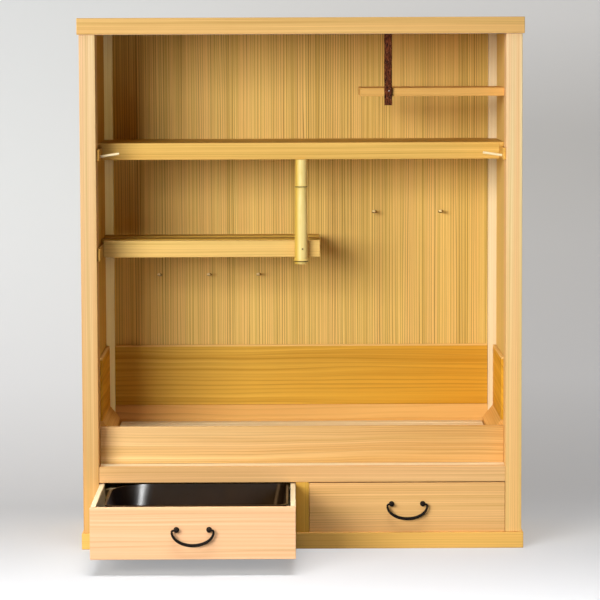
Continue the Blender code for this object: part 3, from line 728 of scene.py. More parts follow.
# Finishes of the cabinet's pieces and of the studio
FRONT_CEDAR = CedarFinish(
    light=(0.95, 0.61, 0.27), dark=(0.70, 0.40, 0.13),
    blush=(0.88, 0.52, 0.22), line=(0.52, 0.27, 0.075),
    streak_pitch=0.0040, ring_depth=0.55,
)
POST_CEDAR = CedarFinish(
    light=(0.96, 0.68, 0.34), dark=(0.74, 0.44, 0.15),
    blush=(0.93, 0.53, 0.24), line=(0.56, 0.31, 0.09),
    streak_pitch=0.009, band_pitch=0.022, ring_depth=0.70,
)
# Painted light and shade: the left post is a darker, shaded copy of the post cedar and the right post a
# lighter, lit copy; both are painted darker low down and lighter higher up
LEFT_POST_CEDAR = replace(
    POST_CEDAR.toned(0.92, 0.88, 0.84),
    near_painted_light=(0.82, 0.78, 0.60), far_painted_light=(0.98, 1.14, 1.42), painted_light_span=(0.10, 1.30),
)
RIGHT_POST_CEDAR = replace(
    POST_CEDAR.toned(1.05, 1.06, 1.08),
    near_painted_light=(0.94, 0.95, 0.75), far_painted_light=(0.98, 1.06, 1.22), painted_light_span=(0.10, 1.30),
)
TOP_CEDAR = CedarFinish(
    light=(0.82, 0.53, 0.190), dark=(0.55, 0.32, 0.086),
    blush=(0.76, 0.435, 0.15), line=(0.42, 0.20, 0.045),
)
PLINTH_CEDAR = CedarFinish(
    light=(0.90, 0.56, 0.145), dark=(0.70, 0.40, 0.085),
    blush=(0.86, 0.48, 0.12), line=(0.52, 0.26, 0.045),
)
SHELF_CEDAR = CedarFinish(
    light=(0.80, 0.49, 0.110), dark=(0.57, 0.31, 0.050),
    blush=(0.74, 0.41, 0.085), line=(0.42, 0.21, 0.03),
)
RICH_CEDAR = CedarFinish(
    light=(0.95, 0.62, 0.23), dark=(0.70, 0.38, 0.095),
    blush=(0.93, 0.54, 0.19), line=(0.46, 0.21, 0.04),
    streak_pitch=0.0075, wander=0.020, ring_depth=0.6,
)
# Painted light: the apron is painted paler at its left end, fading darker towards the right
APRON_CEDAR = replace(
    RICH_CEDAR.toned(0.93, 0.88, 0.85),
    near_painted_light=(0.99, 1.14, 1.50), far_painted_light=(0.89, 0.89, 0.90), painted_light_span=(-0.45, 0.35),
)
LINING_CEDAR = CedarFinish(
    light=(0.84, 0.45, 0.035), dark=(0.54, 0.24, 0.009),
    blush=(0.76, 0.38, 0.025), line=(0.36, 0.13, 0.003),
    streak_pitch=0.010, ring_pitch=0.0110, wander=0.030, ring_depth=0.55,
)
# Painted light and shade: the back wainscot is painted lighter and less orange at its left end than at its
# right
BACK_LINING_CEDAR = replace(
    LINING_CEDAR,
    near_painted_light=(0.95, 1.13, 2.5), far_painted_light=(0.93, 0.95, 1.2), painted_light_span=(-0.40, 0.40),
)
CURB_CEDAR = RICH_CEDAR.toned(0.90, 0.84, 0.72)
STRIPED_CEDAR = CedarFinish(
    light=(0.86, 0.585, 0.160), dark=(0.55, 0.345, 0.070),
    blush=(0.81, 0.51, 0.145), line=(0.17, 0.10, 0.010),
    streak_pitch=0.0023, streak_edge=(0.38, 0.62), band_pitch=0.030, ring_pitch=0.0068, ring_depth=0.92,
    wander=0.003, roughness=0.6,
)
SIDE_CEDAR = CedarFinish(
    light=(0.80, 0.55, 0.17), dark=(0.60, 0.39, 0.09),
    blush=(0.76, 0.48, 0.14), line=(0.42, 0.26, 0.05),
    streak_pitch=0.0042, ring_pitch=0.0066, wander=0.003, roughness=0.6,
)
INNER_CEDAR = CedarFinish(
    light=(0.92, 0.80, 0.55), dark=(0.80, 0.66, 0.40),
    blush=(0.90, 0.74, 0.48), line=(0.66, 0.50, 0.26),
)
BAMBOO = BambooFinish()
# Painted shade: very dark bamboo for the back pegs, so that the slanted right side of each tip reads as
# shade
PEG_BAMBOO_PAINTED_SHADE = BambooFinish(skin=(0.26, 0.14, 0.020), shade=(0.14, 0.070, 0.010))
PALE_BAMBOO = BambooFinish(skin=(0.95, 0.82, 0.52), shade=(0.82, 0.62, 0.28))
BARK = BarkFinish()
IRON = IronFinish()
PLASTIC = TubFinish()
BRIGHT_NAIL = NailFinish(dull=(0.55, 0.52, 0.48), bright=(0.90, 0.88, 0.84))
DARK_NAIL = NailFinish(dull=(0.03, 0.02, 0.015), bright=(0.08, 0.05, 0.03))
PAPER = PaperFinish()


def coat(node: str, material: Material) -> None:
    """Gives a CAD node's every slot a material.

    Args:
        node: Name of the node.
        material: Material to show on it.
    """
    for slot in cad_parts[node].material_slots:
        slot.material = material
    LOG.info("node %s is dressed in %s", node, material.name)


def add_piece(name: str, shape: Shape, material: Material, body: str,
              replaced: Iterable[str] = (), sharp: float = 40.0) -> Piece:
    """Turns a bmesh into a smooth-shaded piece that rides on a body.

    Args:
        name: Name of the piece.
        shape: The shape, placed in the model's frame.
        material: Its material.
        body: Body that it moves with.
        replaced: CAD nodes that it stands for.
        sharp: Edges that turn by more than this many degrees stay sharp.

    Returns:
        The new object.
    """
    data = bpy.data.meshes.new(name)
    for face in shape.faces:
        face.smooth = True
    shape.to_mesh(data)
    shape.free()
    data.set_sharp_from_angle(angle=math.radians(sharp))
    data.materials.append(material)
    piece = bpy.data.objects.new(name, data)
    bpy.context.scene.collection.objects.link(piece)
    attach(piece, body)
    if replaced:
        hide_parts(*replaced)
    LOG.info("piece %s rides on %s, with %d faces", name, body, len(data.polygons))
    return piece


def add_nail(name: str, place: Point, radius: float, material: Material) -> None:
    """Drives a round-headed nail into the case.

    Args:
        name: Name of the nail.
        place: Centre of its head.
        radius: Radius of its head.
        material: Its material.
    """
    head = bmesh.new()
    around, along = NAIL_FACETS
    bmesh.ops.create_uvsphere(head, u_segments=around, v_segments=along, radius=radius)
    bmesh.ops.translate(head, vec=place, verts=head.verts)
    add_piece(name, head, material, "case")


def block(size: Vector) -> Shape:
    """Makes a box round the origin.

    Args:
        size: Its three sides.

    Returns:
        The closed shape.
    """
    shape = bmesh.new()
    bmesh.ops.create_cube(shape, size=1.0)
    bmesh.ops.scale(shape, vec=size, verts=shape.verts)
    return shape


def edges_along(shape: Shape, axis: str, length: float) -> list[bmesh.types.BMEdge]:
    """Picks the edges that run along an axis.

    Args:
        shape: Shape that has them.
        axis: Name of the axis: x, y or z.
        length: Size of the shape along it.

    Returns:
        The edges that take up more than half of that size.
    """
    picked = []
    for edge in shape.edges:
        start, end = (getattr(vert.co, axis) for vert in edge.verts)
        if abs(start - end) > length / 2:
            picked.append(edge)
    return picked


def round_edges(shape: Shape, edges: Iterable[bmesh.types.BMEdge], radius: float, steps: int) -> None:
    """Rounds some edges of a shape.

    Args:
        shape: Shape that has them.
        edges: Edges to round.
        radius: Radius of the round.
        steps: Number of facets across it.
    """
    bmesh.ops.bevel(shape, geom=list(edges), offset=radius, affect="EDGES", segments=steps, profile=0.5,
                    material=-1)


def new_verts(grown: Iterable[Any]) -> list[bmesh.types.BMVert]:
    """Picks the vertices out of what an operator has made."""
    return [item for item in grown if isinstance(item, bmesh.types.BMVert)]


def lathe(profile: Sequence[Span], steps: int) -> Shape:
    """Spins a profile round the Z axis.

    Args:
        profile: Radius and height of each point, from pole to pole.
        steps: Number of facets round the axis.

    Returns:
        The spun shape, with its faces outwards.
    """
    shape = bmesh.new()
    points = [shape.verts.new((radius, 0.0, height)) for radius, height in profile]
    edges = [shape.edges.new(pair) for pair in zip(points, points[1:])]
    bmesh.ops.spin(shape, geom=points + edges, cent=(0.0, 0.0, 0.0), axis=(0.0, 0.0, 1.0),
                   angle=2.0 * math.pi, steps=steps, use_merge=True)
    bmesh.ops.remove_doubles(shape, verts=shape.verts, dist=MERGE_DISTANCE)
    bmesh.ops.recalc_face_normals(shape, faces=shape.faces)
    return shape


def sweep(path: Sequence[Vector], radii: Sequence[float], sides: int) -> Shape:
    """Draws a round bar along a path by extruding one end cap from point to point.

    Args:
        path: Points of the bar's centre line, which lie in one upright plane along X.
        radii: Radius at each point.
        sides: Number of facets round the bar.

    Returns:
        A closed shape with its faces outwards.
    """
    seats = []
    for index, place in enumerate(path):
        before = path[max(index - 1, 0)]
        after = path[min(index + 1, len(path) - 1)]
        turn = (after - before).to_track_quat("Z", "Y").to_matrix().to_4x4()
        seats.append(Matrix.Translation(place) @ turn)
    shape = bmesh.new()
    cap = bmesh.ops.create_circle(shape, cap_ends=True, segments=sides, radius=radii[0])["verts"]
    bmesh.ops.transform(shape, matrix=seats[0], verts=cap)
    for index in range(1, len(path)):
        face = next(item for item in shape.faces if set(item.verts) == set(cap))
        grown = bmesh.ops.extrude_face_region(shape, geom=[face])["geom"]
        bmesh.ops.delete(shape, geom=[face], context="FACES_ONLY")
        cap = new_verts(grown)
        swell = Matrix.Diagonal((radii[index] / radii[index - 1],) * 3).to_4x4()
        step = seats[index] @ swell @ seats[index - 1].inverted()
        bmesh.ops.transform(shape, matrix=step, verts=cap)
    bmesh.ops.holes_fill(shape, edges=[edge for edge in shape.edges if edge.is_boundary])
    bmesh.ops.recalc_face_normals(shape, faces=shape.faces)
    return shape


@dataclass(frozen=True)
class Cut:
    """Boards sawn alike: their cedar, the way its grain runs and where the tree's heart lies across it."""

    finish: CedarFinish
    run: GrainRun
    heart: Span
    nodes: tuple[str, ...]


@dataclass
class Boards:
    """The cabinet's boards: each keeps its solid and gets a cut of cedar of its own."""

    log_step: float = 1.7
    # Boards whose top edges get a painted highlight
    highlight_tops: tuple[str, ...] = ("back_wainscot", "left_wainscot", "right_wainscot")

    def case_cuts(self) -> list[Cut]:
        """Lists the cuts of the case and its back.

        Returns:
            The cuts, in the order in which they are taken from the log.
        """
        upright = GrainRun.UPRIGHT
        return [
            Cut(TOP_CEDAR, GrainRun.ACROSS, (0.05, 0.85), ("top_board",)),
            Cut(LEFT_POST_CEDAR, upright, (-1.05, -0.10), ("left_front_post",)),
            Cut(RIGHT_POST_CEDAR, upright, (-1.05, -0.10), ("right_front_post",)),
            # Painted light: the left rear post is a lighter copy of the inner cedar than the right one
            Cut(INNER_CEDAR.toned(1.03, 1.08, 1.12), upright, (-1.05, 0.10), ("left_rear_post",)),
            Cut(INNER_CEDAR, upright, (-1.05, 0.10), ("right_rear_post",)),
            # Painted light and shade: the left side panel is a darker, shaded copy of the side cedar and
            # the right one a lighter, lit copy
            Cut(SIDE_CEDAR.toned(0.92, 0.88, 0.75), upright, (-0.02, 1.30), ("left_side_panel",)),
            Cut(SIDE_CEDAR.toned(1.13, 1.18, 1.30), upright, (-0.02, 1.30), ("right_side_panel",)),
            Cut(STRIPED_CEDAR.toned(1.05, 1.08, 1.20), upright, (-2.10, 0.10), ("back_panel",)),
        ]

    def inner_cuts(self) -> list[Cut]:
        """Lists the cuts of the lining, the shelves and the sink.

        Returns:
            The cuts, in the order in which they are taken from the log.
        """
        across = GrainRun.ACROSS
        deep = GrainRun.DEEP
        # Painted shade: a darker copy of the shelf cedar for the shelf boards under the top board
        shelf_painted_shade = SHELF_CEDAR.toned(0.80, 0.84, 0.70)
        # Painted shade: a darker copy of the shelf cedar for the cleats that lie in shadow
        cleat_painted_shade = SHELF_CEDAR.toned(0.7, 0.65, 0.6)
        return [
            Cut(BACK_LINING_CEDAR, across, (0.30, 0.05), ("back_wainscot",)),
            Cut(LINING_CEDAR, deep, (0.10, 0.05), ("left_wainscot", "right_wainscot")),
            Cut(SHELF_CEDAR.toned(1.12, 1.18, 1.42), across, (0.10, 0.60), ("upper_shelf_rail",)),
            Cut(SHELF_CEDAR.toned(1.16, 1.33, 2.0), across, (0.10, 0.60), ("lower_shelf_rail",)),
            Cut(shelf_painted_shade, across, (0.90, 0.90), ("upper_shelf_board", "lower_shelf_slats")),
            Cut(cleat_painted_shade, deep, (0.20, 0.75), ("upper_left_cleat", "lower_shelf_cleat")),
            # Painted light: a lighter, lit copy for the upper right cleat
            Cut(SHELF_CEDAR.toned(1.08, 1.12, 1.20), deep, (0.20, 0.75), ("upper_right_cleat",)),
            Cut(SHELF_CEDAR.toned(1.06, 1.03, 1.36), across, (0.30, 1.00), ("corner_shelf",)),
            Cut(APRON_CEDAR, across, (0.12, -0.06), ("sink_apron",)),
            Cut(CURB_CEDAR, across, (0.40, 0.00), ("back_sink_curb",)),
            Cut(CURB_CEDAR, deep, (0.10, 0.00), ("left_sink_curb", "right_sink_curb")),
            Cut(INNER_CEDAR, across, (0.80, 0.00), ("sink_deck", "sink_floor")),
        ]

    def base_cuts(self) -> list[Cut]:
        """Lists the cuts of the drawer storey, the plinth and the drawers.

        Returns:
            The cuts, in the order in which they are taken from the log.
        """
        across = GrainRun.ACROSS
        deep = GrainRun.DEEP
        # Painted light: the plinth boards are a slightly lighter copy, lifting the open drawer's shadow on
        # them
        plinth = PLINTH_CEDAR.toned(1.06, 1.05, 1.06)
        cuts = [
            Cut(FRONT_CEDAR.toned(0.92, 0.90, 0.90), across, (0.10, -0.30), ("drawer_rail",)),
            Cut(FRONT_CEDAR.toned(1.0, 0.98, 1.30), across, (0.10, -0.30), ("left_drawer_front",)),
            Cut(FRONT_CEDAR.toned(0.95, 0.91, 0.83), across, (0.10, -0.30), ("right_drawer_front",)),
            # Painted shade: the divider between the drawers is a darker copy of the plinth cedar
            Cut(PLINTH_CEDAR.toned(0.85, 0.80, 0.50), GrainRun.UPRIGHT, (-0.60, 0.10), ("drawer_divider",)),
            Cut(plinth, across, (0.10, -0.50), ("plinth_front", "plinth_back", "drawer_floor")),
            Cut(plinth, deep, (-0.20, -0.40), ("plinth_left", "plinth_right", "plinth_bearer")),
        ]
        for side in ("left", "right"):
            ends = (f"{side}_drawer_left_side", f"{side}_drawer_right_side")
            rest = (f"{side}_drawer_back", f"{side}_drawer_bottom")
            cuts.append(Cut(INNER_CEDAR, deep, (0.10, -0.50), ends))
            cuts.append(Cut(INNER_CEDAR, across, (0.50, -0.40), rest))
        return cuts

    def dress(self) -> None:
        """Gives every board its material."""
        start = 0.0
        for cut in self.case_cuts() + self.inner_cuts() + self.base_cuts():
            for node in cut.nodes:
                start += self.log_step
                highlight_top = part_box(node)[1].z if node in self.highlight_tops else None
                coat(node, cut.finish.material(node, cut.run, cut.heart, start, highlight_top))


@dataclass
class RailTongues:
    """The two ends of the upper shelf's rail, which pass over the cleats and meet the side panels."""

    rail: str = "upper_shelf_rail"
    clearance: float = 0.0003
    ease: float = 0.0005
    ease_steps: int = 2

    def build(self) -> None:
        """Makes both tongues, in the rail's own cut of cedar."""
        low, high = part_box(self.rail)
        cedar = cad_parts[self.rail].material_slots[0].material
        for side in ("left", "right"):
            cleat_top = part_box(f"upper_{side}_cleat")[1].z
            panel_low, panel_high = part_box(f"{side}_side_panel")
            if side == "left":
                start, end = (panel_high.x + self.clearance, low.x)
            else:
                start, end = (high.x, panel_low.x - self.clearance)
            corner = Vector((start, low.y, cleat_top + self.clearance))
            size = Vector((end, high.y, high.z)) - corner
            shape = block(size)
            round_edges(shape, shape.edges, self.ease, self.ease_steps)
            bmesh.ops.translate(shape, vec=corner + size / 2, verts=shape.verts)
            add_piece(f"upper_rail_{side}_tongue", shape, cedar, "case")


@dataclass
class Cane:
    """The bamboo cane that the lower shelf hangs on, with its joint, its foot ring and a nail."""

    node: str = "bamboo_hanger"
    top_radius: float = 0.0152
    top_ease: float = 0.0006
    foot_radius: float = 0.0172
    foot_ease: float = 0.0008
    taper_rate: float = 1.6
    length_steps: int = 60
    facets: int = 56
    bow: float = 0.0005
    bow_rate: float = 9.0
    bow_start: float = 1.0
    joint_drop: float = 0.072
    joint_swell: float = 0.0016
    foot_ring_rise: float = 0.0075
    foot_swell: float = 0.0028
    groove: float = 0.0007
    ring_room: float = 0.0058
    ring_start: float = 0.0002
    ring_rise: float = 0.0052
    shoulder_rise: float = 0.0028
    shoulder_share: float = 0.7
    crest_rise: float = 0.0012
    under_share: float = 0.8
    ring_fall: float = 0.0032
    fall_share: float = 0.4
    wall: float = 0.0050
    bore_ease: Span = (0.0006, 0.0008)
    bore_height: float = 0.055
    bore_dome: float = 0.003
    nail_radius: float = 0.0021
    nail_height: float = 0.781
    nail_side: float = 0.003
    nail_sink: float = 0.0002
    # Offset of the painted shade on the cane's left side from its middle
    painted_shade_offset: float = 0.004

    def radius_at(self, drop: float, length: float) -> float:
        """Works out the cane's plain radius, which grows towards its foot.

        Args:
            drop: Height from the cane's top, below zero.
            length: Height of the cane.

        Returns:
            The radius.
        """
        share = min(1.0, self.taper_rate * -drop / length)
        return self.top_radius + (self.foot_radius - self.top_radius) * share

    def ring_outline(self, ring: float, swell: float, length: float) -> list[Span]:
        """Works out the outline of one ring, a swelling with a groove round its middle.

        Args:
            ring: Height of the groove from the cane's top, below zero.
            swell: How far the ring stands out.
            length: Height of the cane.

        Returns:
            Radius and height points, downwards.
        """
        base = self.radius_at(ring, length)
        return [
            (base + self.ring_start, ring + self.ring_rise),
            (base + swell * self.shoulder_share, ring + self.shoulder_rise),
            (base + swell, ring + self.crest_rise),
            (base - self.groove, ring),
            (base + swell * self.under_share, ring - self.crest_rise),
            (base + swell * self.fall_share, ring - self.ring_fall),
        ]

    def profile(self, length: float) -> list[Span]:
        """Works out the cane's outline, from the middle of its top to the middle of its bore.

        Args:
            length: Height of the cane.

        Returns:
            Radius and height points, with the top at zero.
        """
        rings = ((-self.joint_drop, self.joint_swell), (-length + self.foot_ring_rise, self.foot_swell))
        points = [point for ring, swell in rings for point in self.ring_outline(ring, swell, length)]
        for index in range(1, self.length_steps):
            drop = -length * index / self.length_steps
            if all(abs(drop - ring) > self.ring_room for ring, _ in rings):
                points.append((self.radius_at(drop, length), drop))
        outside = sorted(points, key=lambda point: -point[1])
        top = [(0.0, 0.0), (self.top_radius - self.top_ease, 0.0), (self.top_radius, -self.top_ease)]
        bore = self.foot_radius - self.wall
        ease_out, ease_up = self.bore_ease
        foot = [
            (self.foot_radius - self.foot_ease, -length),
            (bore + ease_out, -length),
            (bore, -length + ease_up),
            (bore, -length + self.bore_height),
            (0.0, -length + self.bore_height + self.bore_dome),
        ]
        return top + outside + foot

    def build(self) -> None:
        """Makes the cane and its nail."""
        low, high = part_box(self.node)
        centre = (low + high) / 2
        length = high.z - low.z
        shape = lathe(self.profile(length), self.facets)
        for vert in shape.verts:
            vert.co.x += self.bow * math.sin(self.bow_rate * vert.co.z + self.bow_start)
        bmesh.ops.translate(shape, vec=(centre.x, centre.y, high.z), verts=shape.verts)
        scars = [high.z - self.joint_drop, low.z + self.foot_ring_rise]
        material = BAMBOO.material("cane", GrainRun.UPRIGHT, scars, centre.x - self.painted_shade_offset)
        add_piece("bamboo_cane", shape, material, "case", [self.node])
        front = centre.y - self.radius_at(self.nail_height - high.z, length)
        place = (centre.x + self.nail_side, front + self.nail_sink, self.nail_height)
        add_nail("cane_nail", place, self.nail_radius, DARK_NAIL.material("cane"))


@dataclass
class BarkStrip:
    """The bark-covered strip that the corner shelf hangs on, with the nail through it."""

    node: str = "bark_hanger"
    edge: float = 0.0022
    edge_steps: int = 4
    cell: float = 0.004
    width_cuts: int = 6
    roughness: float = 0.0007
    lump_scales: Scales = (170.0, 170.0, 75.0)
    lump_fade: float = 0.9
    lump_gap: float = 2.0
    lump_layers: int = 3
    rough_share: float = 0.499
    sharp: float = 60.0
    nail_radius: float = 0.0016
    nail_height: float = 1.1985
    nail_side: float = 0.002
    nail_sink: float = 0.0004

    def build(self) -> None:
        """Makes the strip with its uneven bark, and the nail."""
        low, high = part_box(self.node)
        centre = (low + high) / 2
        # The bark bulges over the strip's sides and stays within its depth
        size = high - low + Vector((self.roughness, -2.0 * self.roughness, 0.0))
        shape = block(size)
        round_edges(shape, edges_along(shape, "z", size.z), self.edge, self.edge_steps)
        bmesh.ops.subdivide_edges(shape, edges=edges_along(shape, "z", size.z),
                                  cuts=int(size.z / self.cell), use_grid_fill=True)
        bmesh.ops.subdivide_edges(shape, edges=edges_along(shape, "x", size.x),
                                  cuts=self.width_cuts, use_grid_fill=True)
        bmesh.ops.recalc_face_normals(shape, faces=shape.faces)
        self.roughen(shape, size.z)
        bmesh.ops.translate(shape, vec=centre, verts=shape.verts)
        add_piece("bark_strip", shape, BARK.material("strip"), "case", [self.node], self.sharp)
        place = (centre.x + self.nail_side, low.y + self.nail_sink, self.nail_height)
        add_nail("bark_nail", place, self.nail_radius, BRIGHT_NAIL.material("bark"))

    def roughen(self, shape: Shape, length: float) -> None:
        """Moves the bark's surface in and out, apart from the strip's two ends.

        Args:
            shape: The strip, upright round the origin.
            length: Its height.
        """
        shape.normal_update()
        for vert in shape.verts:
            if abs(vert.co.z) < self.rough_share * length:
                place = vert.co * Vector(self.lump_scales)
                lump = noise.fractal(place, self.lump_fade, self.lump_gap, self.lump_layers)
                side = Vector((vert.normal.x, vert.normal.y, 0.0))
                vert.co += side * max(-1.0, min(1.0, lump)) * self.roughness


@dataclass
class Pegs:
    """The bamboo pegs in the back panel and in the cleats, with cut and eased tips."""

    low_pegs: tuple[str, ...] = ("low_back_peg_1", "low_back_peg_2", "low_back_peg_3")
    high_pegs: tuple[str, ...] = ("high_back_peg_1", "high_back_peg_2")
    tip_ease: float = 0.0006
    tip_ease_steps: int = 3
    tip_share: float = 0.95
    flat_section: Span = (2.2, 1.0)
    slant_start: float = 0.05
    slant: float = math.radians(58.0)
    bare_end: float = 0.0009
    sides: int = 20

    def build(self) -> None:
        """Makes every peg in the place of its node."""
        for node in self.low_pegs + self.high_pegs:
            low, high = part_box(node)
            radius = (high.x - low.x) / 2
            middle = (low.x + high.x) / 2
            foot = Vector((middle, high.y, low.z + radius))
            tip = Vector((middle, low.y, high.z - radius))
            # Painted shade: the dark peg bamboo darkens the slanted side of the tip, while the cut end
            # stays pale
            bamboo = PEG_BAMBOO_PAINTED_SHADE.material(node, GrainRun.DEEP, cut_end=tip.y + self.bare_end)
            self.peg(node, foot, tip, radius, bamboo, self.flat_section, True)
        for side in ("left", "right"):
            node = f"{side}_side_peg"
            low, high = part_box(node)
            radius = (high.y - low.y) / 2
            middle = (low.y + high.y) / 2
            start, end = (low.x, high.x) if side == "left" else (high.x, low.x)
            foot = Vector((start, middle, low.z + radius))
            tip = Vector((end, middle, high.z - radius))
            self.peg(node, foot, tip, radius, PALE_BAMBOO.material(node, GrainRun.ACROSS))

    def peg(self, node: str, foot: Vector, tip: Vector, radius: float, bamboo: Material,
            section: Span = (1.0, 1.0), slanted: bool = False) -> None:
        """Makes one peg.

        Args:
            node: CAD node that it stands for.
            foot: Middle of its buried end.
            tip: Middle of its free end.
            radius: Radius at its foot.
            bamboo: Its material.
            section: Width and height of its section, as shares of the radius.
            slanted: Whether the right half of its tip is cut back at a slant.
        """
        along = tip - foot
        shape = bmesh.new()
        bmesh.ops.create_cone(shape, cap_ends=True, segments=self.sides, radius1=radius,
                              radius2=radius * self.tip_share, depth=along.length)
        if slanted:
            self.slant_tip(shape, radius, along.length / 2)
        rim = [edge for edge in shape.edges if all(vert.co.z > 0.0 for vert in edge.verts)]
        round_edges(shape, rim, self.tip_ease, self.tip_ease_steps)
        bmesh.ops.scale(shape, vec=(*section, 1.0), verts=shape.verts)
        turn = along.to_track_quat("Z", "Y").to_matrix().to_4x4()
        bmesh.ops.transform(shape, matrix=Matrix.Translation((foot + tip) / 2) @ turn, verts=shape.verts)
        add_piece(f"{node}_turned", shape, bamboo, "case", [node])

    def slant_tip(self, shape: Shape, radius: float, end: float) -> None:
        """Cuts the right half of an upright peg's tip back at a slant.

        Args:
            shape: The peg, along Z.
            radius: Radius at its foot.
            end: Height of its end.
        """
        whole = [*shape.verts, *shape.edges, *shape.faces]
        start = (self.slant_start * radius, 0.0, end)
        outwards = (math.sin(self.slant), 0.0, math.cos(self.slant))
        made = bmesh.ops.bisect_plane(shape, geom=whole, plane_co=start, plane_no=outwards,
                                      clear_outer=True)
        rim = [item for item in made["geom_cut"] if isinstance(item, bmesh.types.BMEdge)]
        bmesh.ops.holes_fill(shape, edges=rim)
        bmesh.ops.recalc_face_normals(shape, faces=shape.faces)


@dataclass
class Pull:
    """An iron bail on two ball-headed posts, at the middle of one drawer front."""

    side: str
    axis_inset: float = 0.0071
    ball: float = 0.0060
    ball_steps: int = 14
    ball_sweep: float = math.radians(142.0)
    neck: float = 0.0036
    neck_flare: float = 0.0008
    collar: float = 0.0072
    collar_height: float = 0.0018
    collar_ease: float = 0.0006
    collar_gap: float = 0.0001
    shank: float = 0.0024
    post_facets: int = 32
    end_radius: float = 0.0027
    middle_radius: float = 0.0042
    swell_power: float = 1.3
    bend: float = 0.0042
    drop: float = 0.038
    pin_depth: float = 0.0030
    sweep_steps: int = 40
    bend_steps: int = 10
    sides: int = 20
    bar_sharp: float = 80.0

    def build(self) -> None:
        """Makes the two posts and the bail."""
        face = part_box(f"{self.side}_drawer_front")[0].y
        centres = []
        for end in ("left", "right"):
            node = f"{self.side}_pull_{end}_post"
            low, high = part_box(node)
            axis = (low + high) / 2
            centre = Vector((axis.x, low.y + self.axis_inset, axis.z))
            self.post(node, centre, face, high.y)
            centres.append(centre)
        self.bail(*centres)

    def post(self, node: str, centre: Vector, face: float, tail: float) -> None:
        """Makes one post: ball, neck, collar and shank.

        Args:
            node: CAD node that it stands for.
            centre: Centre of its ball.
            face: Y of the drawer's face.
            tail: Y of the end of its shank.
        """
        points = [(0.0, self.ball)]
        for index in range(1, self.ball_steps):
            angle = math.pi / 2 - self.ball_sweep * index / self.ball_steps
            points.append((self.ball * math.cos(angle), self.ball * math.sin(angle)))
        drawer = centre.y - face
        top = drawer + self.collar_height
        end = centre.y - tail
        points += [
            (self.neck, top + self.neck_flare),
            (self.collar - self.collar_ease, top),
            (self.collar, top - self.collar_ease),
            (self.collar, drawer + self.collar_gap),
            (self.shank, drawer + self.collar_gap),
            (self.shank, end),
            (0.0, end),
        ]
        shape = lathe(points, self.post_facets)
        turn = Matrix.Rotation(math.pi / 2, 4, "X")
        bmesh.ops.transform(shape, matrix=Matrix.Translation(centre) @ turn, verts=shape.verts)
        iron = IRON.material(node)
        add_piece(f"{node}_ball", shape, iron, f"{self.side}_drawer", [node])

    def bail(self, left: Vector, right: Vector) -> None:
        """Makes the bail that hangs from the two balls.

        Args:
            left: Centre of the left ball.
            right: Centre of the right ball.
        """
        middle = (left + right) / 2
        flat = self.bail_line((right.x - left.x) / 2)
        path = [middle + Vector((across, 0.0, height)) for across, height in flat]
        swell = self.middle_radius - self.end_radius
        radii = [self.end_radius + swell * (-height / self.drop) ** self.swell_power for _, height in flat]
        shape = sweep(path, radii, self.sides)
        node = f"{self.side}_bail"
        add_piece(f"{node}_bar", shape, IRON.material(node), node, [node], self.bar_sharp)

    def bail_line(self, half_span: float) -> list[Span]:
        """Works out the bail's centre line: out of a ball, round a tight bend and down in half an oval.

        Args:
            half_span: Half the distance between the balls' centres.

        Returns:
            Distance from the middle and height of each point, from the left ball to the right one.
        """
        widest = half_span + self.axis_inset + self.bend
        half = [(half_span + self.ball - self.pin_depth, 0.0)]
        for index in range(self.bend_steps + 1):
            angle = math.pi / 2 * (1.0 - index / self.bend_steps)
            inwards = self.bend * (1.0 - math.cos(angle))
            half.append((widest - inwards, -self.bend * (1.0 - math.sin(angle))))
        for index in range(1, self.sweep_steps):
            angle = math.pi / 2 * index / self.sweep_steps
            hang = (self.drop - self.bend) * math.sin(angle)
            half.append((widest * math.cos(angle), -self.bend - hang))
        return [(-across, height) for across, height in half] + [(0.0, -self.drop)] + half[::-1]


